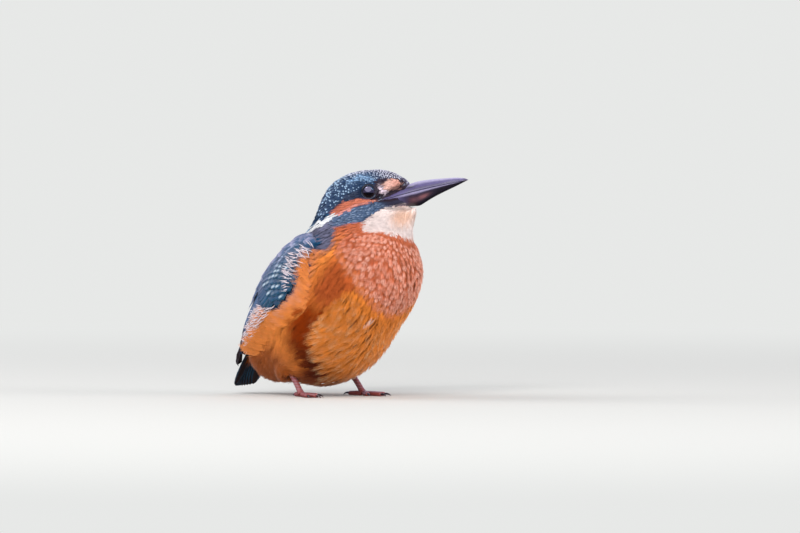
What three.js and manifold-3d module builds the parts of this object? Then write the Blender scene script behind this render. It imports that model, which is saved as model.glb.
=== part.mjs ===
// Common kingfisher (Alcedo atthis), a fledged young bird, life size, as a still museum model.
// It stands upright on its own feet with its head turned to its left and its bill a little raised.
//
// Millimetres, +Z up. +X is the way the breast faces and +Y is the bird's left.
// The origin is on the floor, at the centre of the bounding box.
//
// The flesh is one blended form. An icosahedron is wrapped on it from inside each part, and the
// wraps are parted by thin cuts, so that head, neck and trunk meet without overlap.

import * as THREE from "three";
import { mergeVertices } from "three/addons/utils/BufferGeometryUtils.js";
import Module from "manifold-3d";

const wasm = await Module();
wasm.setup();

const { cos, sin, sqrt, abs, min, max, hypot, PI } = Math;
const vec = (x, y, z) => new THREE.Vector3(x, y, z);
const rad = THREE.MathUtils.degToRad;
const mix = THREE.MathUtils.lerp;
const smooth = THREE.MathUtils.smoothstep;

// ---------------------------------------------------------------- driving dimensions

const gap = 0.3; // left between any two pieces

const pose = {
  trunkPitch: 53, // degrees that the trunk rises from tail to breast
  headYaw: 40, // degrees that the head is turned to the bird's left
  headPitch: 13.5, // degrees that the bill is raised
};

const trunk = { length: 75, width: 58, depth: 61, centre: vec(1, 0, 38.8) };
const head = { eyes: vec(17.2, 6.3, 88.6) }; // the point midway between the eyes
const eye = { radius: 4.4, spread: 7.1 };
const bill = { root: -2, tip: 42 }; // forward of the eyes
const tail = { base: vec(-35, 0, 35), tip: vec(-54.5, 0, 3.2), thick: 1.4 };
const wing = { thick: 2.8, inset: 1.6 };
const leg = { right: vec(-4.2, -14, 0), left: vec(4, 16, 0), rise: 10, lean: 6.5, radius: 1.1 };

// Toes, each with its yaw from the foot's own heading and the length without its claw.
// The outer and middle toes lie side by side, as they are joined for half their length.
const toes = {
  middle: { yaw: 4, length: 11, start: 1.6 },
  outer: { yaw: -13, length: 9.5, start: 1.6 },
  inner: { yaw: 27, length: 6.5, start: 1.6 },
  hind: { yaw: 172, length: 6, start: 1.7 },
};
const toe = { radius: 0.98, height: 0.75, claw: 3.6 };

// ---------------------------------------------------------------- blended forms

// A local frame: origin and three unit axes.
function frameOf(origin, yaw, pitch) {
  const [y, p] = [rad(yaw), rad(pitch)];
  const forward = vec(cos(y) * cos(p), sin(y) * cos(p), sin(p));
  const left = vec(-sin(y), cos(y), 0);
  return { origin, forward, left, up: forward.clone().cross(left) };
}

function toWorld(frame, f, l, u) {
  return frame.origin
    .clone()
    .addScaledVector(frame.forward, f)
    .addScaledVector(frame.left, l)
    .addScaledVector(frame.up, u);
}

// Distance to an ellipsoid, close to true near its surface.
function ellipsoid(frame, [rf, rl, ru], [cf, cl, cu] = [0, 0, 0]) {
  const d = vec();
  return (p) => {
    d.copy(p).sub(frame.origin);
    const f = d.dot(frame.forward) - cf;
    const l = d.dot(frame.left) - cl;
    const u = d.dot(frame.up) - cu;
    const near = hypot(f / rf, l / rl, u / ru);
    const slope = hypot(f / (rf * rf), l / (rl * rl), u / (ru * ru));
    return slope < 1e-9 ? -min(rf, rl, ru) : (near * (near - 1)) / slope;
  };
}

// Union of forms, each blended into those before it over a width of its own.
function blend(...forms) {
  return (p) => {
    let d = 1e9;
    for (const [form, width] of forms) {
      const e = form(p);
      const h = max(width - abs(d - e), 0) / width;
      d = min(d, e) - (h * h * width) / 4;
    }
    return d;
  };
}

// The value at t on a smooth line through stations of [t, value].
function along(stations, t) {
  let i = 1;
  while (i < stations.length - 1 && t > stations[i][0]) i++;
  const [[t0, v0], [t1, v1]] = [stations[i - 1], stations[i]];
  return mix(v0, v1, smooth(t, t0, t1) * 0.5 + min(max((t - t0) / (t1 - t0), 0), 1) * 0.5);
}

// The way out of a form at a point.
function outward(form, p) {
  const step = 0.4;
  const slope = ["x", "y", "z"].map((axis) => {
    const [a, b] = [p.clone(), p.clone()];
    a[axis] += step;
    b[axis] -= step;
    return form(a) - form(b);
  });
  return vec(...slope).normalize();
}

const body = frameOf(trunk.centre, 0, pose.trunkPitch);
const skull = frameOf(head.eyes, pose.headYaw, pose.headPitch);
const level = frameOf(vec(0, 0, 0), 0, 0);

const trunkForm = blend(
  [ellipsoid(body, [trunk.length / 2, trunk.width / 2, trunk.depth / 2]), 1],
  [ellipsoid(level, [26.8, 26.5, 24.5], [18.3, 0, 54]), 10], // breast
  [ellipsoid(frameOf(vec(-26.5, 0, 24), 0, 62), [20, 19.5, 14.5]), 10], // rump and vent
  [ellipsoid(level, [9.2, 16, 8], [8.8, 0, 60.5]), 7], // mantle
);
const headForm = blend(
  [ellipsoid(skull, [16.4, 11.4, 9.9], [-4, 0, -0.4]), 1], // cranium
  [ellipsoid(skull, [13.5, 7.2, 8.4], [2.7, 0, -1.1]), 3], // forehead
  [ellipsoid(skull, [9.5, 5.8, 5.5], [6.5, 0, -4.5]), 4], // lores
  [ellipsoid(skull, [6.8, 3.8, 2.4], [11.5, 0, -1.6]), 3], // feathers over the root of the bill
  [ellipsoid(skull, [12, 12, 8], [-5.5, 0, -9]), 5], // cheeks
  [ellipsoid(skull, [9.7, 6, 6.5], [8.4, 0, -13.8]), 4], // chin
  [ellipsoid(skull, [9.2, 8.5, 11], [4.2, 0, -20.5]), 6], // throat
  [ellipsoid(skull, [11.8, 10.8, 10.4], [-13.6, 0, -8.2]), 4], // nape
);
const fleshForm = blend([trunkForm, 1], [headForm, 7]);

// ---------------------------------------------------------------- solids from three.js geometries

// A closed solid of a three.js geometry, each vertex moved by place(x, y, z), which gives a Vector3.
function solid(geometry, place = (x, y, z) => vec(x, y, z)) {
  const g = geometry.clone();
  g.deleteAttribute("normal");
  g.deleteAttribute("uv");
  const merged = mergeVertices(g, 1e-5);
  const from = merged.attributes.position;
  const vertProperties = new Float32Array(from.count * 3);
  for (let i = 0; i < from.count; i++) {
    place(from.getX(i), from.getY(i), from.getZ(i)).toArray(vertProperties, i * 3);
  }
  const triVerts = new Uint32Array(merged.index.array);
  const made = new wasm.Manifold(new wasm.Mesh({ numProp: 3, vertProperties, triVerts }));
  if (made.volume() > 0) return made;
  for (let i = 0; i < triVerts.length; i += 3) {
    [triVerts[i + 1], triVerts[i + 2]] = [triVerts[i + 2], triVerts[i + 1]];
  }
  return new wasm.Manifold(new wasm.Mesh({ numProp: 3, vertProperties, triVerts }));
}

// Distance from centre to the form's surface along a unit direction.
function reach(form, centre, direction, furthest = 120) {
  const p = vec();
  const at = (r) => form(p.copy(centre).addScaledVector(direction, r));
  const step = 1.5;
  let far = 0;
  while (at(far) < 0 && far < furthest) far += step;
  let near = max(0, far - step);
  for (let i = 0; i < 24; i++) {
    const half = (near + far) / 2;
    if (at(half) < 0) near = half;
    else far = half;
  }
  return far;
}

// An icosahedron wrapped on a form from a centre inside it, its faces drawn out along the frame.
function wrap(form, centre, detail, stretch = vec(1, 1, 1), frame = level) {
  const aim = { ...frame, origin: vec(0, 0, 0) };
  return solid(new THREE.IcosahedronGeometry(1, detail), (x, y, z) => {
    const d = toWorld(aim, x * stretch.x, y * stretch.y, z * stretch.z).normalize();
    return centre.clone().addScaledVector(d, reach(form, centre, d));
  });
}

// All that lies over (side 1) or under (side -1) a frame's own level, less half the gap.
function halfSpace(frame, side) {
  const big = 400;
  return solid(new THREE.BoxGeometry(big, big, big), (x, y, z) =>
    toWorld(frame, x, y, z + (side * (big + gap)) / 2),
  );
}

// A round bar along a curve, its radius radiusAt(t), grown all over by extra.
function bar(curve, radiusAt, { sides = 8, steps = 6, extra = 0, side = vec(0, 1, 0) } = {}) {
  return solid(new THREE.CylinderGeometry(1, 1, 1, sides, steps), (x, y, z) => {
    const t = y + 0.5;
    const p = curve.getPoint(t);
    const tangent = curve.getTangent(t);
    const across = side.clone().addScaledVector(tangent, -side.dot(tangent)).normalize();
    const over = tangent.clone().cross(across);
    const r = radiusAt(t) + extra;
    const past = abs(y) > 0.499 ? 2 * y * extra : 0;
    p.addScaledVector(tangent, past);
    return p.addScaledVector(across, x * r).addScaledVector(over, z * r);
  });
}

// ---------------------------------------------------------------- bill and eyes

// Where the two mandibles meet, sagging a little between gape and tip.
const billMeet = (f) => -5 - 1.2 * sin(PI * min(max(f / bill.tip, 0), 1));
const billTop = [[-2, -3.4], [8, -2.6], [14, -2.1], [20, -1], [25, -1.1], [32, -2], [39, -3.4], [42, -4.6]];
const billUnder = [[-2, -9], [8, -10.6], [20, -11.2], [25, -9.3], [30, -7.9], [36, -6.6], [42, -4.9]];
const billWide = [[-2, 4.2], [3, 6.3], [8, 6.3], [14, 5.2], [20, 4.2], [31, 2.2], [39, 1.1], [42, 0.35]];

function billSolid(extra) {
  const length = bill.tip - bill.root;
  return solid(new THREE.CylinderGeometry(1, 1, 1, 12, 10), (x, y, z) => {
    const t = 0.5 - y;
    const f = bill.root + length * t + (t === 0 ? -extra : 0) + (t === 1 ? extra : 0);
    const meet = billMeet(f);
    const tall = z > 0 ? along(billTop, f) - meet : meet - along(billUnder, f);
    const ridge = z > 0 ? 0.9 : 0.85; // the mandibles narrow to a ridge above and a keel below
    const wide = along(billWide, f) + extra;
    return toWorld(skull, f, wide * x * (1 - (1 - ridge) * abs(z)), meet + z * (tall + extra));
  });
}

// All above (side 1) or below (side -1) the line where the mandibles meet.
function beyondMeet(side) {
  const big = 40;
  return solid(new THREE.BoxGeometry(1, big, 1, 10, 1, 1), (x, y, z) => {
    const f = mix(bill.root - 4, bill.tip + 4, x + 0.5);
    const u = billMeet(f) + side * (z * side > 0 ? big : gap / 2);
    return toWorld(skull, f, y, u);
  });
}

function makeBill() {
  const whole = billSolid(0);
  return {
    bill_upper: whole.intersect(beyondMeet(1)),
    bill_lower: whole.intersect(beyondMeet(-1)),
  };
}

function eyeBall(side, extra) {
  const centre = toWorld(skull, 0, side * eye.spread, 0);
  const ball = new THREE.IcosahedronGeometry(eye.radius + extra, 2);
  return solid(ball, (x, y, z) => vec(x, y, z).add(centre));
}

// ---------------------------------------------------------------- wings and tail

// The folded right wing's middle line, from its bend to the tips of the primaries.
const wingLine = new THREE.CatmullRomCurve3([
  vec(14, -21, 63),
  vec(-2, -24, 56),
  vec(-17, -24, 43),
  vec(-33, -17, 28),
  vec(-48, -8.5, 12.5),
]);
// Half widths towards the back and towards the belly, where the flank feathers lap over the wing.
const wingUp = [
  [0, 1.5], [0.05, 6], [0.13, 10], [0.27, 13.5], [0.5, 13.5], [0.66, 11], [0.82, 7], [1, 1.5],
];
const wingDown = [
  [0, 1.5], [0.05, 7], [0.13, 11], [0.24, 13], [0.4, 12], [0.56, 7.5], [0.7, 4.2], [1, 1.5],
];
const wingLeaves = [0.72, 0.92]; // over this stretch the tips leave the body

// A point of the right wing: t along it, c across it from -1 at the back to 1, out from its skin.
function wingPoint(t, c, out) {
  const p = wingLine.getPoint(t);
  const tangent = wingLine.getTangent(t);
  const way = outward(trunkForm, p);
  const across = tangent.clone().cross(way).normalize();
  p.addScaledVector(across, c * along(c < 0 ? wingUp : wingDown, t));
  const hold = 1 - smooth(t, ...wingLeaves);
  for (let i = 0; i < 3; i++) p.addScaledVector(outward(trunkForm, p), -trunkForm(p) * hold);
  return p.addScaledVector(outward(trunkForm, p), out);
}

function wingSolid(side, extra) {
  return solid(new THREE.BoxGeometry(1, 1, 1, 18, 6, 1), (x, y, z) => {
    const t = min(max(x + 0.5, 0), 1) ** 1.15;
    const c = 2 * y;
    const edge = (1 - c * c) * (0.2 + 0.8 * smooth(t, 0, 0.12));
    const thin = mix(1, 0.3, smooth(t, 0.5, 0.95));
    const outer = 0.4 + (wing.thick - 0.4) * edge * thin;
    const inner = -0.3 - wing.inset * edge * thin;
    const grow = 1 + extra / 9;
    const p = wingPoint(t, c * grow, z > 0 ? outer + extra : inner - extra);
    if (t === 0 || t === 1) p.addScaledVector(wingLine.getTangent(t), extra * (t * 2 - 1));
    p.y *= -side;
    return p;
  });
}

// The closed tail, slightly wider and rounded at its end, its face crowned across.
const tailHalf = [[0, 5], [0.4, 6], [0.85, 7.6], [1, 6.4]];

function tailSolid(extra) {
  const line = tail.tip.clone().sub(tail.base);
  const back = vec(line.z, 0, -line.x).normalize();
  return solid(new THREE.BoxGeometry(1, 1, 1, 4, 8, 1), (x, y, z) => {
    const t = x + 0.5;
    const c = 2 * y;
    const end = t === 1 ? -1.8 * c * c + extra : t === 0 ? -extra : 0;
    const p = tail.base.clone().addScaledVector(line, t + end / line.length());
    p.addScaledVector(back, -1.6 * c * c + z * (tail.thick * mix(1.5, 0.6, t) + 2 * extra));
    p.y += c * (along(tailHalf, t) + extra);
    return p;
  });
}

// ---------------------------------------------------------------- legs and feet

const sideName = { 1: "left", [-1]: "right" };
const footHeading = { 1: -6, [-1]: -20 }; // degrees from straight ahead
const footAt = (side) => (side > 0 ? leg.left : leg.right);

function thighSolid(side, extra) {
  const at = footAt(side);
  const centre = vec(at.x - 8, at.y - side * 1.5, 12.5);
  const form = ellipsoid(frameOf(centre, 0, 38), [9 + extra, 6 + extra, 6 + extra]);
  return wrap(form, centre, 2);
}

function tarsusSolid(side, extra) {
  const at = footAt(side);
  const curve = new THREE.CatmullRomCurve3([
    vec(at.x - leg.lean - 2, at.y - side, leg.rise + 1.5),
    vec(at.x - leg.lean * 0.45, at.y - side * 0.3, leg.rise * 0.5),
    vec(at.x - 0.3, at.y, 1.2),
  ]);
  const thick = (t) => leg.radius * (1 + 0.35 * (2 * t - 1) ** 4);
  return bar(curve, thick, { sides: 8, steps: 5, extra });
}

// One foot's four toes and claws, lying on the floor, each with a small flat under it.
function footSolids(side) {
  const at = footAt(side);
  const floor = halfSpace(frameOf(vec(0, 0, -gap / 2), 0, 0), 1);
  const made = {};
  let taken = tarsusSolid(side, gap);
  for (const [name, { yaw, length, start }] of Object.entries(toes)) {
    const heading = rad(footHeading[side] - side * yaw);
    const way = vec(cos(heading), sin(heading), 0);
    const point = (along, z) => vec(at.x, at.y, z).addScaledVector(way, along);
    const across = vec(-way.y, way.x, 0);
    const end = start + length;
    const line = new THREE.CatmullRomCurve3([
      point(start - 1.2, toe.height + 0.1),
      point(start + length * 0.5, toe.height),
      point(end, toe.height - 0.06),
    ]);
    const thick = (t) => toe.radius * mix(1, 0.86, t);
    const shape = { sides: 8, steps: 3, side: across };
    const whole = bar(line, thick, shape).intersect(floor);
    made[`toe_${name}_${sideName[side]}`] = largest(whole.subtract(taken));
    taken = taken.add(bar(line, thick, { ...shape, extra: gap }));
    const hook = new THREE.CatmullRomCurve3([
      point(end + gap, toe.height + 0.1),
      point(end + toe.claw * 0.45, toe.height + 0.35),
      point(end + toe.claw * 0.85, toe.height - 0.15),
      point(end + toe.claw, 0.2),
    ]);
    const taper = (t) => mix(0.62, 0.14, t ** 1.3);
    made[`claw_${name}_${sideName[side]}`] = bar(hook, taper, { sides: 6, steps: 4, side: across });
  }
  return made;
}

// ---------------------------------------------------------------- the bird, parted

const neckLow = frameOf(vec(8, 0, 65.5), 20, -8);
const neckHigh = frameOf(toWorld(skull, -6, 0, -12), pose.headYaw, pose.headPitch - 25);

function makeBird() {
  const made = { tail: tailSolid(0), ...makeBill() };
  const cutters = [tailSolid(gap), billSolid(gap)];
  for (const side of [1, -1]) {
    const name = sideName[side];
    const thighCut = thighSolid(side, gap);
    const legCut = tarsusSolid(side, gap);
    made[`eye_${name}`] = eyeBall(side, 0);
    made[`wing_${name}`] = wingSolid(side, 0).subtract(tailSolid(gap));
    made[`thigh_${name}`] = thighSolid(side, 0).subtract(legCut);
    made[`leg_${name}`] = tarsusSolid(side, 0);
    Object.assign(made, footSolids(side));
    cutters.push(eyeBall(side, gap), wingSolid(side, gap), thighCut, legCut);
  }
  const pared = (whole) => cutters.reduce((left, cutter) => left.subtract(cutter), whole);
  const low = wrap(fleshForm, trunk.centre, 8, vec(1.25, 1, 1), body);
  const middle = wrap(fleshForm, toWorld(neckLow, 3, 2, 3), 7);
  const high = wrap(fleshForm, toWorld(skull, -3, 0, -4), 8);
  made.trunk = pared(low.intersect(halfSpace(neckLow, -1)));
  made.neck = pared(middle.intersect(halfSpace(neckLow, 1)).intersect(halfSpace(neckHigh, -1)));
  made.head = pared(high.intersect(halfSpace(neckHigh, 1)));
  return made;
}

// The largest body of a cut piece, without the crumbs a cut leaves.
function largest(made) {
  return made.decompose().reduce((a, b) => (b.volume() > a.volume() ? b : a));
}

// ---------------------------------------------------------------- assembly

function geometryOf(made) {
  const m = made.getMesh();
  const v = new Float32Array(m.numVert * 3);
  for (let i = 0; i < m.numVert; i++) {
    v.set(m.vertProperties.subarray(i * m.numProp, i * m.numProp + 3), i * 3);
  }
  const g = new THREE.BufferGeometry();
  g.setAttribute("position", new THREE.BufferAttribute(v, 3));
  g.setIndex(new THREE.BufferAttribute(m.triVerts, 1));
  g.computeVertexNormals();
  return g;
}

// The first word of a node's name picks its finish.
const finishes = {
  head: { color: 0x3b5474, roughness: 0.8 },
  neck: { color: 0xd18d74, roughness: 0.85 },
  trunk: { color: 0xc06a2c, roughness: 0.85 },
  thigh: { color: 0xa5531c, roughness: 0.9 },
  wing: { color: 0x2f6276, roughness: 0.55 },
  tail: { color: 0x24485e, roughness: 0.55 },
  eye: { color: 0x120d0b, roughness: 0.06 },
  bill: { color: 0x4c4652, roughness: 0.35 },
  leg: { color: 0x9c5a50, roughness: 0.5 },
  toe: { color: 0x8c4a44, roughness: 0.5 },
  claw: { color: 0x2b2022, roughness: 0.35 },
};

// How far the solids move so that the middle of their box stands over the origin.
function toMiddle(solids) {
  const box = new THREE.Box3();
  for (const made of solids) {
    const { min: low, max: high } = made.boundingBox();
    box.union(new THREE.Box3(vec(...low), vec(...high)));
  }
  const middle = box.getCenter(vec());
  return vec(-middle.x, -middle.y, -box.min.z);
}

const bird = Object.entries(makeBird()).map(([name, made]) => [name, largest(made)]);
const move = toMiddle(bird.map(([, made]) => made));
const kingfisher = new THREE.Group();
for (const [name, made] of bird) {
  const finish = finishes[name.split("_")[0]];
  const mesh = new THREE.Mesh(
    geometryOf(made),
    new THREE.MeshStandardMaterial({ ...finish, metalness: 0 }),
  );
  mesh.name = name;
  mesh.position.copy(move);
  kingfisher.add(mesh);
}

export default kingfisher;
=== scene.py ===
# Common kingfisher, a fledged young bird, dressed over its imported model.
# Lengths in the tables are millimetres and meshes are written in metres.
# Points are worked out in the bird's own frame: +X the way the breast faces, +Y its left, +Z up.

import math
import time
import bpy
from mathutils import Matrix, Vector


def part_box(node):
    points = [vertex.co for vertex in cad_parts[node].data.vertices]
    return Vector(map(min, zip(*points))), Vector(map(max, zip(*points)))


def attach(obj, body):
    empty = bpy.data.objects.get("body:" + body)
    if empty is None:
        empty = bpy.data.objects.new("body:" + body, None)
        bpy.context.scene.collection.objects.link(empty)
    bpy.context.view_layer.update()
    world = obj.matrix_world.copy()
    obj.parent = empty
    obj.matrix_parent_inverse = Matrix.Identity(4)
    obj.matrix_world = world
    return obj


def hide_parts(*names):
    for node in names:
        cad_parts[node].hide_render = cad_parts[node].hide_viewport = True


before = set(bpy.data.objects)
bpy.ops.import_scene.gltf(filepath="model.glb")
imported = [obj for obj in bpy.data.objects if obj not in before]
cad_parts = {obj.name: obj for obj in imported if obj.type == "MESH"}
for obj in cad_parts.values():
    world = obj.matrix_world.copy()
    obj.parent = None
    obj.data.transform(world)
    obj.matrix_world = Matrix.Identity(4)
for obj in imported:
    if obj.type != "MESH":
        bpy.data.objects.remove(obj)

from types import SimpleNamespace

import bpy
import numpy as np
from mathutils import Vector
from mathutils.bvhtree import BVHTree
from mathutils.kdtree import KDTree

startedAt = time.time()
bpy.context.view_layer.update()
mm = 0.001
seeds = {"roots": 5, "coat": 11, "wing": 40, "vanes": 60, "flank": 80, "tail": 77}  # of the random draws
wingSteps, gridT, gridC = 240, 60, 24  # steps along the wing's line, and of its grid along and across it


def report(words):
    print(f"[kingfisher] {time.time() - startedAt:5.1f} s  {words}")


# posture, as the solids have it

bird = {
    "eyes": (17.2, 6.3, 88.6),  # midway between the eyes
    "trunkCentre": (1.0, 0.0, 38.8),
    "trunkPitch": 53,
    "headYaw": 40,
    "headPitch": 13.5,
    "eyeSpread": 7.1,
    "eyeRadius": 4.4,
}


def middleOf(node):
    low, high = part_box(node)
    return np.array((low + high) / 2)


# how far the frame's origin lies from the bird's own
shift = (middleOf("eye_left") + middleOf("eye_right")) / 2 / mm - np.array(bird["eyes"])


def unit(v):
    v = np.asarray(v, float)
    return v / np.maximum(np.linalg.norm(v, axis=-1, keepdims=True), 1e-9)


def axesAt(origin, yaw, pitch):
    y, p = math.radians(yaw), math.radians(pitch)
    forward = np.array([math.cos(y) * math.cos(p), math.sin(y) * math.cos(p), math.sin(p)])
    left = np.array([-math.sin(y), math.cos(y), 0.0])
    return {
        "origin": np.array(origin, float),
        "forward": forward,
        "left": left,
        "up": np.cross(forward, left),
    }


def inAxes(points, axes):
    d = np.asarray(points, float) - axes["origin"]
    return d @ axes["forward"], d @ axes["left"], d @ axes["up"]


def fromAxes(f, l, u, axes):
    f, l, u = np.broadcast_arrays(f, l, u)
    return (
        axes["origin"]
        + f[..., None] * axes["forward"]
        + l[..., None] * axes["left"]
        + u[..., None] * axes["up"]
    )


sideways = np.array([0, 1.0, 0])
stationCount, vaneStations = 6, 7  # along most feathers, and along those of wing and tail
skull = axesAt(bird["eyes"], bird["headYaw"], bird["headPitch"])
body = axesAt(bird["trunkCentre"], 0, bird["trunkPitch"])


def smooth(x, low, high):
    t = np.clip((np.asarray(x, float) - low) / (high - low), 0, 1)
    return t * t * (3 - 2 * t)


# 1 below low and 0 above high
def fade(x, low, high):
    return 1 - smooth(x, low, high)


# 1 at the middle, and falling off to either side of it
def peak(x, middle, breadth):
    return np.exp(-(((x - middle) / breadth) ** 2))


def mix(a, b, t):
    return a + (b - a) * t


def tone(code):
    c = np.array([int(code[i : i + 2], 16) for i in (1, 3, 5)]) / 255
    return np.where(c <= 0.04045, c / 12.92, ((c + 0.055) / 1.055) ** 2.4)


# camera, lights and floor

view = {
    "azimuth": 43,
    "elevation": 1.5,
    "lens": 400,
    "distance": 3822,
    "aside": 12.83,  # the aim lies this far to the right of the eyes
    "aimHeight": 56.1,
}
lamps = {  # right, up and toward the viewer from the aim, in metres; size; watts; colour
    "keyLamp": ((-0.32, 0.68, 1.38), 1.25, 15, (1.0, 0.99, 0.97)),
    "sparkLamp": ((-0.6, 0.85, 1.2), 0.3, 2.5, (1.0, 1.0, 1.0)),
    "fillLamp": ((1.5, 0.15, 0.65), 1.1, 19, (0.98, 0.99, 1.0)),
    "sideLamp": ((-1.2, 0.75, -0.25), 1.0, 8, (1.0, 1.0, 1.0)),
}


# selects these pieces alone, with the first of them active
def choose(*pieces):
    if bpy.context.object and bpy.context.object.mode != "OBJECT":
        bpy.ops.object.mode_set(mode="OBJECT")
    bpy.ops.object.select_all(action="DESELECT")
    for made in reversed(pieces):
        made.select_set(True)
        bpy.context.view_layer.objects.active = made


def placeView():
    az, el = math.radians(view["azimuth"]), math.radians(view["elevation"])
    right = np.array([math.cos(az), math.sin(az), 0])
    toward = np.array([math.sin(az) * math.cos(el), -math.cos(az) * math.cos(el), math.sin(el)])
    aim = np.array(bird["eyes"]) + shift + right * view["aside"]
    aim[2] = view["aimHeight"]
    bpy.ops.object.camera_add(location=(aim + toward * view["distance"]) * mm)
    camera = bpy.context.object
    camera.name = "viewCamera"
    camera.data.lens = view["lens"]
    camera.data.sensor_width = 36
    camera.data.clip_end = 200
    camera.rotation_euler = Vector(-toward).to_track_quat("-Z", "Y").to_euler()
    bpy.context.scene.camera = camera
    for name, (place, size, watts, colour) in lamps.items():
        at = aim * mm + right * place[0] + np.array([0, 0, place[1]]) + toward * place[2]
        bpy.ops.object.light_add(type="AREA", location=at)
        lamp = bpy.context.object
        lamp.name = name
        lamp.data.shape = "DISK"
        lamp.data.size = size
        lamp.data.energy = watts
        lamp.data.color = colour
        lamp.rotation_euler = Vector(at - aim * mm).to_track_quat("Z", "Y").to_euler()


surround = {
    "radius": 30, "corners": 96, "floor": "#e1e0dc", "sky": (0.80, 0.81, 0.80), "light": (0.95, 0.98, 1.0),
    "daylight": 0.56, "fade": (0.12, 0.9), "glossFloor": (0.05, 0.05, 0.06), "glossSky": (0.84, 0.8, 1.18),
}


# gives a node's inputs values, or joins them to other nodes' sockets
def fillNode(tree, node, inputs):
    for name, value in inputs.items():
        if isinstance(value, bpy.types.NodeSocket):
            tree.links.new(value, node.inputs[name])
        else:
            node.inputs[name].default_value = value


def addNode(tree, kind, inputs={}, **settings):
    node = tree.nodes.new(f"ShaderNode{kind}")
    for name, value in settings.items():
        setattr(node, name, value)
    fillNode(tree, node, inputs)
    return node


def newMaterial(name, inputs):
    material = bpy.data.materials.new(name)
    material.use_nodes = True
    tree = material.node_tree
    shader = tree.nodes["Principled BSDF"]
    fillNode(tree, shader, inputs)
    return material, tree, shader


# 1 for the rays of the camera, of gloss and of clear things, which see the plain backdrop
def seenRays(tree):
    path = addNode(tree, "LightPath").outputs
    share = path["Is Camera Ray"]
    for name in ("Is Glossy Ray", "Is Transmission Ray"):
        share = addNode(tree, "Math", {0: share, 1: path[name]}, operation="MAXIMUM").outputs[0]
    return share


def mixShaders(tree, share, first, second):
    return addNode(tree, "MixShader", {0: share, 1: first.outputs[0], 2: second.outputs[0]})


# mirrored by eyes and horn, the ground is dim and the sky bright, so that their gloss has a shape
def glossOnly(tree, plain, glow):
    return mixShaders(tree, addNode(tree, "LightPath").outputs["Is Glossy Ray"], plain, glow).outputs[0]


# far from the bird the floor takes the backdrop's colour
def fadeFloor(tree, shader):
    low, high = surround["fade"]
    place = addNode(tree, "TexCoord").outputs["Object"]
    length = addNode(tree, "VectorMath", {0: place}, operation="LENGTH").outputs["Value"]
    span = {"From Min": low, "From Max": high, "Value": length}
    reach = addNode(tree, "MapRange", span, interpolation_type="SMOOTHSTEP").outputs["Result"]
    share = addNode(tree, "Math", {0: reach, 1: seenRays(tree)}, operation="MULTIPLY").outputs[0]
    glow, dim = (addNode(tree, "Emission", {"Color": (*surround[name], 1)}) for name in ("sky", "glossFloor"))
    either = mixShaders(tree, share, shader, glow)
    fillNode(tree, tree.nodes["Material Output"], {"Surface": glossOnly(tree, either, dim)})


# a ready shape under its own name
def primitive(add, name, **values):
    choose()
    add(**values)
    made = bpy.context.object
    made.name = made.data.name = name
    return made


def makeSurround():
    values = {"vertices": surround["corners"], "radius": surround["radius"], "fill_type": "NGON"}
    floor = primitive(bpy.ops.mesh.primitive_circle_add, "paleFloor", **values)
    looks = {"Base Color": (*tone(surround["floor"]), 1), "Roughness": 0.9, "Specular IOR Level": 0.1}
    material, tree, shader = newMaterial("paleFloor", looks)
    fadeFloor(tree, shader)
    floor.data.materials.append(material)

    world = bpy.data.worlds.new("studio")
    bpy.context.scene.world = world
    world.use_nodes = True
    tree = world.node_tree
    tree.nodes.clear()
    backdrop = ("sky", "glossSky")
    lit = addNode(tree, "Background", {"Color": (*surround["light"], 1), "Strength": surround["daylight"]})
    seen, bright = (addNode(tree, "Background", {"Color": (*surround[name], 1)}) for name in backdrop)
    either = mixShaders(tree, seenRays(tree), lit, seen)
    addNode(tree, "OutputWorld", {"Surface": glossOnly(tree, either, bright)})


placeView()
makeSurround()
bpy.context.scene.view_settings.view_transform = "Standard"
report("camera, lamps and floor placed")


# meshes and numbers

def read(items, what, width=3, kind=float):
    found = np.empty(len(items) * width, kind)
    items.foreach_get(what, found)
    return found.reshape(-1, width)


def toMetres(points):
    return (np.asarray(points, float) + shift) * mm


def birdPoints(mesh):
    return read(mesh.vertices, "co") / mm - shift


def setPoints(mesh, points):
    mesh.vertices.foreach_set("co", toMetres(points).astype(np.float32).ravel())
    mesh.update()


def trianglesOf(mesh):
    mesh.calc_loop_triangles()
    return read(mesh.loop_triangles, "vertices", 3, np.int32)


def meshFrom(name, points, triangles):
    mesh = bpy.data.meshes.new(name)
    mesh.vertices.add(len(points))
    setPoints(mesh, points)
    mesh.loops.add(triangles.size)
    mesh.loops.foreach_set("vertex_index", triangles.astype(np.int32).ravel())
    mesh.polygons.add(len(triangles))
    mesh.polygons.foreach_set("loop_start", np.arange(0, triangles.size, 3, dtype=np.int32))
    mesh.update(calc_edges=True)
    mesh.shade_smooth()
    made = bpy.data.objects.new(name, mesh)
    bpy.context.scene.collection.objects.link(made)
    return made


def setTones(mesh, tones):
    layer = mesh.attributes.new("tone", "FLOAT_COLOR", "POINT")
    rgba = np.ones((len(tones), 4), np.float32)
    rgba[:, :3] = np.clip(tones, 0, 1)
    layer.data.foreach_set("color", rgba.ravel())


def setUv(mesh, name, perVertex):
    layer = mesh.uv_layers.new(name=name)
    corner = read(mesh.loops, "vertex_index", 1, np.int32)[:, 0]
    layer.data.foreach_set("uv", perVertex[corner].astype(np.float32).ravel())


# a piece wears one finish, hangs from the root body and hides the nodes it stands for
def enrol(made, material, slot, *nodes):
    made.data.materials.clear()
    made.data.materials.append(material)
    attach(made, "root")
    if nodes:
        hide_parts(*nodes)


def applyModifier(made, kind, **values):
    choose(made)
    modifier = made.modifiers.new(kind.lower(), kind)
    for key, value in values.items():
        setattr(modifier, key, value)
    bpy.ops.object.modifier_apply(modifier=modifier.name)


def swell(made, by):
    applyModifier(made, "DISPLACE", strength=by * mm, mid_level=0)


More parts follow.
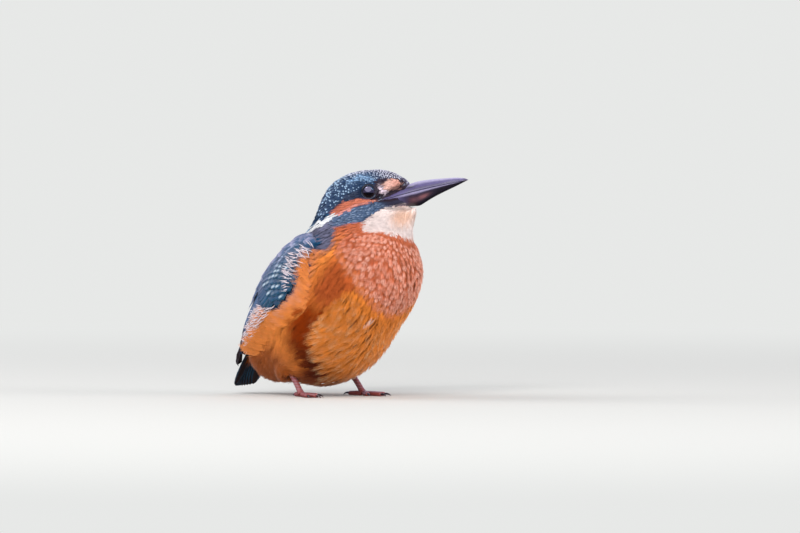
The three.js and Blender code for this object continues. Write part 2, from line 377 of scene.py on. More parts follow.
# does one thing to the whole of a mesh in edit mode
def editing(made, act, **values):
    choose(made)
    bpy.ops.object.mode_set(mode="EDIT")
    bpy.ops.mesh.select_all(action="SELECT")
    act(**values)
    bpy.ops.object.mode_set(mode="OBJECT")


def copyNode(node, label):
    made = bpy.data.objects.new(label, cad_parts[node].data.copy())
    made.data.materials.clear()
    bpy.context.scene.collection.objects.link(made)
    editing(made, bpy.ops.mesh.remove_doubles, threshold=0.00001)
    return made


def cutAway(made, at, normal):
    values = {"plane_co": toMetres(at), "plane_no": normal, "use_fill": True}
    editing(made, bpy.ops.mesh.bisect, clear_outer=True, clear_inner=False, **values)


# one smooth shell round several pieces
def shellRound(pieces, name, voxel, smoothing):
    choose(*pieces)
    bpy.ops.object.join()
    made = bpy.context.object
    made.name = made.data.name = name
    applyModifier(made, "REMESH", mode="VOXEL", voxel_size=voxel * mm, use_smooth_shade=True)
    applyModifier(made, "SMOOTH", factor=0.5, iterations=smoothing)
    return made


# the folded wing's own map

wing = {
    "line": [(14, -21, 63), (-2, -24, 56), (-17, -24, 43), (-33, -17, 28), (-48, -8.5, 12.5)],
    "belly": [(0, 1.5), (0.05, 6), (0.13, 10), (0.27, 13.5), (0.5, 13.5), (0.66, 11), (0.82, 7), (1, 1.5)],
    "back": [(0, 1.5), (0.05, 7), (0.13, 11), (0.24, 13), (0.4, 12), (0.56, 7.5), (0.7, 4.2), (1, 1.5)],
    # how far up the wing the loose pale hairs and the flank's plumes reach, as c at each t
    "hairs": [
        (0, -0.5), (0.05, -0.1), (0.10, 0.0), (0.14, 0.06), (0.17, 0.3), (0.22, 0.55), (0.25, 0.75),
        (0.29, 0.92), (0.39, 0.95), (0.45, 0.7), (0.5, 0.35), (0.55, 0.2), (0.6, 0.15), (0.7, 0.3), (1, 1),
    ],
    "flank": [
        (0, 0.2), (0.05, 0.45), (0.1, 0.75), (0.16, 0.95), (0.22, 1.0), (0.39, 1.0), (0.45, 0.74),
        (0.5, 0.42), (0.55, 0.3), (0.6, 0.22), (0.65, 0.24), (0.7, 0.4), (0.8, 0.5), (0.9, 1), (1, 1),
    ],
}


def smoothLine(points, t):
    points = np.asarray(points, float)
    last = len(points) - 1
    x = np.clip(np.asarray(t, float), 0, 1) * last
    i = np.minimum(x.astype(int), last - 1)
    w = (x - i)[..., None]
    before = np.where((i > 0)[..., None], points[np.maximum(i - 1, 0)], 2 * points[i] - points[i + 1])
    after = points[np.minimum(i + 2, last)]
    after = np.where((i + 2 <= last)[..., None], after, 2 * points[i + 1] - points[i])
    a, b = points[i], points[i + 1]
    return a + 0.5 * w * (
        b - before + w * (2 * before - 5 * a + 4 * b - after + w * (3 * (a - b) + after - before))
    )


wingT = np.linspace(0, 1, wingSteps + 1)
wingPoints = smoothLine(wing["line"], wingT)
wingTangents = unit(np.gradient(wingPoints, axis=0))


def tableAt(table, t):
    x, y = zip(*table)
    return np.interp(t, x, y)


# millimetres from the wing's middle line to its edge, on the side where c lies
def wingHalf(t, c):
    return np.where(c < 0, tableAt(wing["back"], t), tableAt(wing["belly"], t))


# where a point of either side lies on its wing: t along it, c across it from -1 at the back edge,
# inside it or not, millimetres across it and millimetres past either end
def wingPlace(points, normals):
    p = np.array(points, float)
    n = np.array(normals, float)
    flip = p[:, 1] > 0
    p[flip, 1] *= -1
    n[flip, 1] *= -1
    every = wingSteps // gridT
    apart = ((p[:, None, :] - wingPoints[None, ::every, :]) ** 2).sum(-1)
    i = np.clip(apart.argmin(1) * every, 0, wingSteps)
    for _ in range(2):
        along = ((p - wingPoints[i]) * wingTangents[i]).sum(-1)
        i = np.clip(i + np.round(along / 0.36).astype(int), 0, wingSteps)
    across = unit(np.cross(n, wingTangents[i]))
    c = ((p - wingPoints[i]) * across).sum(-1)
    t = wingT[i]
    half = wingHalf(t, c)
    out = ((p - wingPoints[i]) * n).sum(-1)
    ends = ((p - wingPoints[i]) * wingTangents[i]).sum(-1)
    inside = (np.abs(c) < half) & (np.abs(out) < 9) & (np.abs(ends) < 2)
    return t, c / half, inside, c, ends


# the bill's measures, which the skin of the face also keeps to

bill = {  # forward and up from the middle of the eyes
    "root": -2.0,
    "tip": 42.2,
    "top": [
        (-2, -3.4), (8, -2.4), (14, -1.5), (20, -0.7), (25, -1.0), (32, -2), (39, -3.4), (41.3, -4.3),
        (42.2, -5.0),
    ],
    "under": [
        (-2, -7), (8, -9.0), (12.6, -9.7), (17, -10.7), (19.4, -11.0), (22, -10.2), (25, -9.2), (30, -7.9),
        (36, -6.6), (41, -5.4), (42.2, -5.1),
    ],
    "half": [
        (-2, 6.2), (2, 7.7), (4, 7.7), (6, 7.3), (8, 6.7), (11, 5.9), (14, 5.1), (20, 4.1), (31, 2.2),
        (39, 1.1), (41.6, 0.55), (42.2, 0.15),
    ],
    # where feathers end above and below it
    "baseTop": [(2.6, -4.9), (6.4, -4.6), (10, -3.6), (13, -2.4), (18.2, -0.4)],
    "baseUnder": [(2.6, -5.1), (6.4, -7.2), (11.4, -9.1), (18.6, -10.7)],
    "nostril": (17.2, -2.5),
}


def easedTable(table, f):
    xs, ys = (np.array(v, float) for v in zip(*table))
    slopes = np.gradient(ys, xs)
    i = np.clip(np.searchsorted(xs, f) - 1, 0, len(xs) - 2)
    h = xs[i + 1] - xs[i]
    t = np.clip((f - xs[i]) / h, 0, 1)
    return (
        (2 * t**3 - 3 * t**2 + 1) * ys[i] + (t**3 - 2 * t**2 + t) * h * slopes[i]
        + (-2 * t**3 + 3 * t**2) * ys[i + 1] + (t**3 - t**2) * h * slopes[i + 1]
    )


def billMeet(f):
    return -5.08 + 0.62 * np.sin(math.pi * np.clip(f / bill["tip"], 0, 1))


# half width of the closed bill at each place seen from the side
def billSide(f, u):
    f = np.clip(f, bill["root"], bill["tip"])
    meet, half = billMeet(f), easedTable(bill["half"], f)
    over = np.clip((u - meet) / (easedTable(bill["top"], f) - meet), 0, 1) ** 0.87
    under = np.clip((meet - u) / (meet - easedTable(bill["under"], f)), 0, 1) ** 0.9
    lower = np.maximum(over, under)
    return half * np.sqrt(1 - np.minimum(lower, 0.999) ** 2) ** 0.8


# more than nought on the bill's bare base, by that many millimetres
def onBillBase(f, u):
    top = np.interp(f, *zip(*bill["baseTop"]))
    under = np.interp(f, *zip(*bill["baseUnder"]))
    return np.minimum(np.minimum(top - u, u - under), (f - 2.6) * 0.8)


# the skin under the coat

skinShape = {
    "grow": 0.25, "voxel": 0.6, "smoothing": 26,
    "wingCut": (-33.5, 16.5, 27.5), "tailCut": (-40, 0, 26), "billCut": (15, 0, -5),
}


def coatDepth(points):
    f, _, u = inAxes(points, skull)
    headness = smooth(u + 26 - 0.31 * (12 - f), -6, 6)
    face = headness * smooth(f, 0, 7) * smooth(u, -12, -7)
    breast = smooth(inAxes(points, body)[0], 8, 26)
    deep = mix(mix(2.1, 1.35, breast), 0.85, headness)
    return mix(deep, 0.4, face)


# the cheeks close in to the sides of the bill round its bare base
def pressFace(points):
    f, l, u = inAxes(points, skull)
    near = smooth(onBillBase(f, u), -3.2, -0.3) * (f < 20)
    target = billSide(f, u) - 0.3 + 0.25 * np.maximum(-onBillBase(f, u), 0)
    side = np.sign(l)
    inward = np.minimum(target - np.abs(l), 0) * near * (np.abs(l) > 0.5)
    return points + (inward * side)[:, None] * skull["left"]


# the throat's front keeps a steep clean line from the chin down to the breast
def pressThroat(points):
    f, l, u = inAxes(points, skull)
    limit = np.interp(u, [-30, -26, -20, -15, -11], [14.5, 12.4, 13.7, 16.2, 18.9])
    share = smooth(-u, 10.5, 13) * fade(-u, 25, 31)
    moved = np.minimum(limit - f, 0) * share * 0.9
    corner = smooth(f, limit - 4, limit - 1.5) * smooth(-u, 10.8, 11.2)
    corner = corner * (1 - smooth(-u, 14, 16.5)) * (1 - smooth(np.abs(l), 2.5, 5))
    moved = moved + np.clip(limit - 0.2 - f, 0, 2) * corner * 0.8
    raised = np.clip(-11.3 - u, 0, 1.6) * smooth(f, limit - 6, limit - 3) * fade(-u, 12.5, 14) * (f > 9) * 0.7
    return points + moved[:, None] * skull["forward"] + raised[:, None] * skull["up"]


def makeSkin():
    flesh = ("trunk", "neck", "head", "thigh_left", "thigh_right")
    copies = [copyNode(node, f"flesh_{node}") for node in flesh]
    for side, name in ((1, "left"), (-1, "right")):
        plate = copyNode(f"wing_{name}", f"flesh_wing_{name}")
        cutAway(plate, skinShape["wingCut"], (-0.75, -0.35 * side, -0.5))
        copies += [plate, copyNode(f"eye_{name}", f"flesh_eye_{name}")]
    rump = copyNode("tail", "flesh_tail")
    cutAway(rump, skinShape["tailCut"], (-0.5, 0, -0.86))
    copies.append(rump)
    for node in ("bill_upper", "bill_lower"):
        core = copyNode(node, f"flesh_{node}")
        cutAway(core, fromAxes(*skinShape["billCut"], skull), skull["forward"])
        copies.append(core)
    for made in copies:
        swell(made, -0.5 if "bill" in made.name else skinShape["grow"])
    skin = shellRound(copies, "skin", skinShape["voxel"], skinShape["smoothing"])
    keepLargest(skin)
    points, normals = birdPoints(skin.data), read(skin.data.vertices, "normal")
    points = points - normals * coatDepth(points)[:, None]
    setPoints(skin.data, seatEyes(pressFace(pressThroat(points))))
    return skin


# a voxel skin may shed a crumb, and only its largest shell stays
def keepLargest(made):
    editing(made, bpy.ops.mesh.separate, type="LOOSE")
    shells = sorted(bpy.context.selected_objects, key=lambda o: -len(o.data.vertices))
    for crumb in shells[1:]:
        if crumb != made:
            bpy.data.objects.remove(crumb)
    if shells[0] != made:
        made.data = shells[0].data
        bpy.data.objects.remove(shells[0])


lidShape = {"opening": 2.8, "margin": 4.4}


# the skin dips under each eyeball and meets it all round its opening
def seatEyes(points):
    for side in (1, -1):
        axis = skull["left"] * side
        centre = skull["origin"] + axis * bird["eyeSpread"]
        q = points - centre
        out = q @ axis
        radial = np.linalg.norm(q - out[:, None] * axis, axis=1)
        near = (radial < lidShape["margin"]) & (out > -1)
        rim = np.minimum(radial, bird["eyeRadius"] - 0.3)
        ball = np.sqrt(bird["eyeRadius"] ** 2 - rim**2)
        target = ball - 0.9 + 1.05 * smooth(radial, lidShape["opening"] - 0.7, lidShape["opening"] + 0.3)
        keep = smooth(radial, lidShape["opening"] + 0.2, lidShape["margin"])
        moved = mix(target, out, keep) - out
        points = points + np.where(near, moved, 0)[:, None] * axis
    return points


skin = makeSkin()
report(f"skin of {len(skin.data.vertices)} points")

# the skin as a place for roots

skinPoints = birdPoints(skin.data)
skinNormals = read(skin.data.vertices, "normal")
skinFaces = trianglesOf(skin.data)
skinTree = BVHTree.FromPolygons(skinPoints.tolist(), skinFaces.tolist())
faceNormals = unit(skinNormals[skinFaces].sum(1))


def unwrapSkin():
    mesh = skin.data
    mesh.uv_layers.new(name="OFBake")
    editing(skin, bpy.ops.uv.smart_project, angle_limit=math.radians(60), island_margin=0.004)
    corners = read(mesh.uv_layers["OFBake"].data, "uv", 2, np.float32)
    return corners[read(mesh.loop_triangles, "loops", 3, np.int32)].mean(1)


faceUv = unwrapSkin()
report("skin unwrapped")


# nearest places on the skin: points, smooth normals and face numbers
def settle(points):
    found = np.empty((len(points), 3))
    faces = np.empty(len(points), int)
    for i, p in enumerate(points):
        at, _, face, _ = skinTree.find_nearest(p)
        found[i] = at
        faces[i] = face
    return found, faceNormals[faces], faces


def treeOf(points):
    tree = KDTree(len(points))
    for i, p in enumerate(points):
        tree.insert(p, i)
    tree.balance()
    return tree


# which of many places to keep, so that each has its own gap round it
def thinned(points, gaps):
    tree = treeOf(points)
    alive = np.ones(len(points), bool)
    kept = []
    for i in range(len(points)):
        if alive[i]:
            kept.append(i)
            for _, j, _ in tree.find_range(points[i], gaps[i]):
                alive[j] = False
    return kept


# places spread evenly over the skin, each keeping its own spacing from the next
def scatter(spacingOf, wanted, seed, relax=9):
    rng = np.random.default_rng(seed)
    corners = skinPoints[skinFaces]
    area = np.linalg.norm(np.cross(corners[:, 1] - corners[:, 0], corners[:, 2] - corners[:, 0]), axis=1) / 2
    middle = corners.mean(1)
    dense = np.where(wanted(middle, faceNormals), area / spacingOf(middle) ** 2, 0)
    count = int(dense.sum() * 5)
    face = rng.choice(len(area), count, p=dense / dense.sum())
    w = np.sqrt(rng.random(count))
    v = rng.random(count)
    weights = np.stack([1 - w, w * (1 - v), w * v], 1)
    points = (corners[face] * weights[..., None]).sum(1)
    points = points[thinned(points, spacingOf(points) * 0.79)]
    for _ in range(relax):
        points = spreadOut(points, spacingOf(points))
    points, normals, faces = settle(points)
    keep = wanted(points, normals)
    return points[keep], normals[keep], faces[keep]


def spreadOut(points, spacing):
    tree = treeOf(points)
    near = np.array([[j for _, j, _ in tree.find_n(p, 7)] for p in points])[:, 1:]
    away = points[:, None] - points[near]
    far = np.linalg.norm(away, axis=2)
    push = np.clip(1 - far / (spacing[:, None] * 1.05), 0, 1) / np.maximum(far, 1e-6)
    moved = points + (away * push[..., None]).sum(1) * spacing[:, None] * 0.32
    return settle(moved)[0]


# the lie of the coat

def headShare(points):
    f, _, u = inAxes(points, skull)
    return smooth(u + 26 - 0.31 * (12 - f), -7, 5)


# millimetres below the line where the flank's plumes lap over the wing
def belowWing(points, normals):
    t, c, _, across, ends = wingPlace(points, normals)
    edge = tableAt(wing["flank"], t) * wingHalf(t, c)
    return across - edge + 2 * np.abs(ends)


# the way each feather points, before it is laid in the skin
def lieAt(points, normals):
    f, l, u = inAxes(points, skull)
    low = smooth(-u, 2, 12)
    chin = smooth(f, 2, 10) * smooth(-u, 8, 14)
    headWay = fromAxes(-1.0 + 0.45 * chin, 0.06 * np.sign(l) * low, -0.12 - 0.42 * low - 0.75 * chin, skull)
    headWay = unit(headWay - skull["origin"])
    a, b, h = inAxes(points, body)
    side = np.sign(points[:, 1] + 1e-6)
    tail = np.broadcast_to(-body["forward"], points.shape)
    # below the wing the flank plumes turn back and up towards it
    flank = fade(belowWing(points, normals), 0, 10) * fade(-a, 22, 30)
    up = np.stack([-0.8 * np.ones(len(points)), 0 * side, 0.7 * np.ones(len(points))], 1)
    # over the belly the plumes also spread sideways from its middle line
    around = np.degrees(np.arctan2(np.abs(b), h))
    spread = smooth(around, 105, 125) * fade(around, 160, 178) * fade(a, 2, 16)
    out = np.stack([-0.6 + 0 * side, 0.8 * side, 0.25 + 0 * side], 1)
    bodyWay = unit(tail + 0.9 * spread[:, None] * out + 1.6 * flank[:, None] * up)
    share = headShare(points)[:, None]
    way = mix(bodyWay, headWay, share)
    way = way - (way * normals).sum(1, keepdims=True) * normals
    return unit(way)


def turned(ways, normals, angles):
    side = np.cross(normals, ways)
    return ways * np.cos(angles)[:, None] + side * np.sin(angles)[:, None]


# stations of each feather along the skin, from its root to its tip
def walk(points, normals, lengths, angles):
    places, ups = [points], [normals]
    way = turned(lieAt(points, normals), normals, angles)
    step = (lengths / (stationCount - 1))[:, None]
    for _ in range(stationCount - 1):
        point, normal, _ = settle(places[-1] + way * step)
        way = way - (way * normal).sum(1, keepdims=True) * normal
        way = unit(unit(way) + 0.35 * turned(lieAt(point, normal), normal, angles))
        places.append(point)
        ups.append(normal)
    return np.stack(places, 1), np.stack(ups, 1)


# shapes of feathers, as flat patterns: s from root to tip, x across in half widths, z in millimetres

def vaneWidth(s, broad=0.55, root=0.3):
    s = np.asarray(s, float)
    rise = root + (1 - root) * smooth(s, 0, broad)
    past = np.clip((s - broad) / (1 - broad), 0, 1)
    return np.where(s < broad, rise, np.clip(1 - past ** (1 / 0.62 + 0.9), 0, 1) ** 0.55)


# two triangles between neighbours k and m of the rings that begin at a and b
def strip(a, b, k, m):
    return [(a + k, a + m, b + m), (a + k, b + m, b + k)]


# corners round a vane, as its half widths across and the side they lie on
vaneRing = [(-1, 0), (-0.5, 1), (0, 1), (0.5, 1), (1, 0), (0.5, -1), (0, -1), (-0.5, -1)]


def vanePattern(stations, barbs, seed, **outline):
    rng = np.random.default_rng(seed)
    n = len(vaneRing)
    at = [(0.0, 0.0, 0.0)]
    for station in stations:
        width = float(vaneWidth(station, **outline))
        at += [(station, c * width, side * 0.5) for c, side in vaneRing]
    last, end = len(at), len(at) - n
    at.append((1.0, 0.0, 0.0))
    faces = []
    for k in range(n):
        m = (k + 1) % n
        faces.append((0, 1 + m, 1 + k))
        for first in range(1, end, n):
            faces += strip(first, first + n, k, m)
        faces.append((end + k, end + m, last))
    for i in range(barbs):
        side = -1 if i % 2 else 1
        y = mix(0.5, 0.97, (i + 0.5) / barbs)
        edge = float(vaneWidth(y, **outline))
        out = mix(0.32, 0.1, (y - 0.5) / 0.5) * rng.uniform(0.7, 1.2)
        a = len(at)
        at += [(y - 0.045, side * (edge - 0.04), 0.0), (y + 0.03, side * (edge - 0.1), 0.0)]
        at += [(y, side * (edge - 0.12), -0.7)]
        at.append((y + rng.uniform(0.1, 0.17), side * (edge * 0.94 + out), 0.1))
        faces += [(a, a + 1, a + 3), (a + 1, a + 2, a + 3), (a + 2, a, a + 3), (a, a + 2, a + 1)]
    return patternOf(at, faces)


# a lock of fine strands that fan out from one root
def lockPattern(strands, seed, segments=3, thick=0.1, fan=1.0, rise=0.25):
    rng = np.random.default_rng(seed)
    at, dx, faces = [], [], []
    for i in range(strands):
        aim = mix(-1, 1, (i + 0.5) / strands) + rng.normal(0, 0.12)
        start = rng.uniform(0.0, 0.3)
        end = mix(1.0, 0.78, abs(aim)) * rng.uniform(0.85, 1.1)
        high = rng.uniform(-0.6, 0.6)
        curl = rng.normal(0, 0.18)
        first = len(at)
        for j in range(segments):
            q = j / segments
            r = thick * (1 - 0.75 * q**1.5) * (0.7 if j == 0 else 1)
            for side, lift in ((-1, 0), (1, 0), (0, 1)):
                x = aim * fan * (0.25 + 0.75 * q) + curl * q * q
                at.append((mix(start, end, q), x, high * (0.3 + 0.7 * q) + lift * rise))
                dx.append(side * r)
        tip = len(at)
        at.append((end, aim * fan + curl, high))
        dx.append(0.0)
        faces.append((first, first + 2, first + 1))
        for a in range(first, tip, 3):
            for k in range(3):
                m = (k + 1) % 3
                faces += strip(a, a + 3, k, m) if a + 3 < tip else [(a + k, a + m, tip)]
    return patternOf(at, faces, np.array(dx))


def patternOf(at, faces, dx=0.0):
    s, x, z = np.array(at).T
    faces = facedOut(np.stack([x + dx, s * 4, z], 1), np.array(faces))
    return {"s": s, "x": x, "z": z, "dx": dx + 0 * s, "faces": faces}


# turns each shell of a pattern so that its faces point outwards
def facedOut(points, faces):
    label = np.arange(len(points))
    while True:
        lowest = label[faces].min(1)
        before = label.copy()
        for k in range(3):
            np.minimum.at(label, faces[:, k], lowest)
        if (label == before).all():
            break
    shell = label[faces[:, 0]]
    middle = np.stack([np.bincount(label, points[:, k], len(points)) for k in range(3)], 1)
    middle /= np.maximum(np.bincount(label, minlength=len(points)), 1)[:, None]
    a, b, c = (points[faces[:, k]] - middle[shell] for k in range(3))
    volume = np.bincount(shell, (a * np.cross(b, c)).sum(1), len(points))
    turn = volume[shell] < 0
    faces = faces.copy()
    faces[turn] = faces[turn][:, ::-1]
    return faces


# points of a pattern laid along each feather's stations
def layPattern(pattern, places, ups, widths, thick, rootLift, tipLift, camber, roll=0.0):
    s, x = pattern["s"], pattern["x"][None]
    last = places.shape[1] - 1
    at = np.clip(s, 0, 1) * last
    i = np.minimum(at.astype(int), last - 1)
    w = (at - i)[None, :, None]
    a, b = places[:, i], places[:, i + 1]
    along = b - a
    point = a + along * (w + np.maximum(s - 1, 0)[None, :, None] * last)
    up = unit(mix(ups[:, i], ups[:, i + 1], w))
    aside = x * widths[:, None] + pattern["dx"][None]
    lift = mix(rootLift[:, None], tipLift[:, None], np.clip(s, 0, 1.2)[None])
    high = lift + pattern["z"][None] * thick - camber * (x**2) * widths[:, None] + roll * aside
    return point - unit(np.cross(up, along)) * aside[..., None] + up * high[..., None], up


# colours of the bird, by place

tints = {
    "crownDark": "#1e3a5c",
    "crownSpot": "#b4d4f4",
    "foreDark": "#3a3148",
    "foreSpot": "#f0e8f6",
    "browSpot": "#90b6e0",
    "eyeBand": "#1d2b45",
    "lore": "#ffc8ba",
    "loreDark": "#32222c",
    "preEye": "#e6d0de",
    "white": "#f4f4f8",
    "ear": "#d67a60",
    "earEdge": "#f4a49a",
    "malar": "#4a6080",
    "malarFore": "#3a3a52",
    "malarSpot": "#a4b6ce",
    "throat": "#f8e4e0",
    "throatWarm": "#e6b090",
    "throatEdge": "#ffc4b4",
    "shoulder": "#6c6c86",
    "breast": "#d4704c",
    "breastTip": "#ffc4b2",
    "breastGap": "#a04a30",
    "plain": "#c65f2e",
    "flank": "#fb9444",
    "flankUp": "#f09260",
    "flankPale": "#f3e8f3",
    # deep rufous of the flank, partly painted shade
    "flankDeepAndPaintedShade": "#9c3a04",
    "belly": "#ee8938",
    "bellyPale": "#ffe0b0",
    # painted shade of the lower belly
    "bellyPaintedShade": "#94501f",
    # painted shade in a dark rust
    "rustPaintedShade": "#5a1e04",
    # painted shade in the partings between plumes
    "partingShade": "#4a1a08",
    "back": "#1c7fb4",
    "rump": "#2cb0e6",
    "wing": "#1c4a6e",
    "wingStreak": "#b8c6e8",
    "wingHair": "#f4ecf8",
    "wingEdge": "#3f8fb4",
    "wingSpot": "#dcf2ff",
    "scapular": "#33608a",
    # painted violet highlight of the plumage
    "violetPaintedHighlight": "#b4b0d0",
    "primary": "#2b1d1b",
    "underTail": "#b05c28",
    "underTailTip": "#d89a70",
    "tailBlue": "#1b5878",
    "tailUnder": "#33211d",
    "bill": "#564e78",
    # painted highlight on the bill's horn
    "billPaintedHighlight": "#ccc4e4",
    "billDark": "#15111b",
    "billLow": "#221a28",
    "billRed": "#85555a",
    "billTip": "#4a4250",
    "pupil": "#050406",
    "iris": "#140b08",
    "lid": "#0d0d14",
    # painted highlight on the lids' rim
    "lidPaintedHighlight": "#7f8cac",
    "legSkin": "#8c4440",
    "legDark": "#48202a",
    # painted highlight on the scutes
    "legPaintedHighlight": "#a47f8d",
    "claw": "#2a2226",
    "clawTip": "#5a4c4c",
}
tints = {name: tone(code) for name, code in tints.items()}

headMarks = {  # forward and up from the middle of the eyes, with a stripe's half width third
    "lore": [
        (5.8, 1.4), (8.2, 2.8), (10.7, 2.7), (13.8, 0.7), (14.3, -1.2), (13, -2.0), (9.1, -1.9), (6.7, -1.1),
    ],
    "loreDark": [
        (2.5, 3), (6, 4), (9, 4), (14.5, 1.6), (20, 0.2), (20, -6), (12, -6.5), (7, -6.4), (3, -5.6),
        (0.8, -4.3),
    ],
    "preEye": [(4.4, 1.6, 0.25), (4.9, -0.3, 0.6), (5.9, -1.9, 0.65)],
    "eyeBand": [(-3.5, -0.4, 2.0), (-8, -0.4, 1.7), (-12, -1.9, 1.2), (-16, -3.9, 0.7)],
    "ear": [
        (1.6, -4.7, 0.3), (-1.3, -4.1, 0.7), (-6, -3.3, 1.5), (-11, -4.2, 2.0), (-16, -5.5, 1.6),
        (-18.4, -6.2, 0.8),
    ],
    "earLow": [(-18, -7.4), (-12.2, -6.3), (-8.3, -5), (-3.7, -4.8), (2.7, -5.3)],
    "neckStripe": [(-17.2, -6.8, 0.7), (-21.9, -8.7, 1.05), (-26.9, -10.5, 0.95), (-31, -12.3, 0.5)],
    "malarEdge": [
        (18.2, -10.5), (11.4, -9), (6.4, -8.7), (2.4, -8.7), (-2.1, -10.7), (-5.6, -12.4), (-12, -11.8),
        (-16.8, -10.7), (-19.2, -12.1), (-21.3, -16.7), (-24.4, -21.1),
    ],
    "gape": [(-20, -7), (3.3, -5.2), (13, -9.3), (20, -10.6)],
    "throatEdge": [
        (-6.5, -14.2), (-5.2, -17), (0.1, -18.1), (2.8, -19.5), (7.3, -22.1), (12.5, -25.8), (22, -28),
    ],
    "brow": [(2.0, 4.8, 0.5), (-0.5, 6.0, 1.1), (-4, 6.3, 0.9), (-9, 5.4, 0.5)],
    "crown": [(-32, -11.5), (-19, -6.2), (-15, -3.6), (-10, -2.0), (3, -4.1), (14, -2.2)],
    "nape": [(-45, -40), (-31, -13.5), (-22, -10.6), (-17, -8.2)],
    "shoulder": [
        (-16.5, -7.6), (-13, -12.2), (-15.8, -11.5), (-18.0, -12.0), (-19.3, -16.0), (-20.3, -19.4),
        (-23.4, -21.8), (-27, -20.8), (-30, -17.5), (-36, -14), (-28, -11.6), (-20, -8.6),
    ],
}
markEdges = {  # millimetres from outside each marking of the head's sides to well inside it
    "lore": (-0.5, 0.7), "ear": (-0.45, 0.45), "neckStripe": (-0.3, 0.3), "brow": (-0.8, 0.8),
    "preEye": (-0.9, 0.4), "eyeBand": (-0.6, 0.8), "shoulder": (-1.3, 0.9),
}
bodyMarks = {  # along the trunk from its middle, and degrees round it from the spine
    "scaly": [(0, 36), (90, 35.5), (109, 33), (128, 30), (144, 26), (158, 22), (172, 19.5), (180, 19)],
    "belly": [
        (-40, 166), (-22.4, 151), (-19.7, 143), (-16.2, 135), (-12.6, 129), (-8.5, 121), (-1.3, 117),
        (3, 117), (8, 121), (17, 126), (24, 132), (30, 150),
    ],
    # the blue back's half breadth
    "spine": [(-40, 26), (-30, 42), (-20, 54), (0, 54), (24, 50), (40, 60)],
    "slits": [
        ((15.5, 166, 0.45), (9.5, 163.5, 0.15)), ((13.5, 168, 0.3), (10, 167, 0.1)),
        ((7.5, 169, 0.35), (2.4, 166, 0.1)), ((12.5, 149.5, 0.35), (8.6, 147, 0.1)),
        ((17.5, 139.5, 0.3), (14.0, 138, 0.05)), ((1.5, 161, 0.25), (-2.5, 158, 0.05)),
        ((-4, 151, 0.2), (-7, 149, 0.05)), ((20, 133, 0.2), (17.6, 132, 0.05)),
    ],
    "wisps": [
        ((17.0, 163, 0.12), (11.4, 159.5, 0.05)), ((15.4, 160.5, 0.1), (10.2, 157.5, 0.04)),
        ((17.8, 165.5, 0.1), (14.4, 163, 0.04)), ((14.2, 163, 0.08), (11.8, 161.8, 0.04)),
    ],
}


# distance from points of a plane to a line of stations (x, y), or (x, y, half width)
def fromLine(x, y, stations):
    best = np.full(np.shape(x), 1e9)
    for first, second in zip(stations[:-1], stations[1:]):
        dx, dy = second[0] - first[0], second[1] - first[1]
        t = np.clip(((x - first[0]) * dx + (y - first[1]) * dy) / (dx * dx + dy * dy), 0, 1)
        far = np.hypot(x - first[0] - t * dx, y - first[1] - t * dy)
        if len(first) > 2:
            far = far - mix(first[2], second[2], t)
        best = np.minimum(best, far)
    return best


# signed distance to an outline, less than nought inside
def fromOutline(x, y, outline):
    inside = np.zeros(np.shape(x), bool)
    for (ax, ay), (bx, by) in zip(outline, outline[1:] + outline[:1]):
        crossing = (ay > y) != (by > y)
        inside ^= crossing & (x < ax + (y - ay) * (bx - ax) / (by - ay + 1e-12))
    far = fromLine(x, y, outline + outline[:1])
    return np.where(inside, -far, far)


def heightOn(stations, x):
    xs, ys = zip(*sorted((p[0], p[1]) for p in stations))
    return np.interp(x, xs, ys)


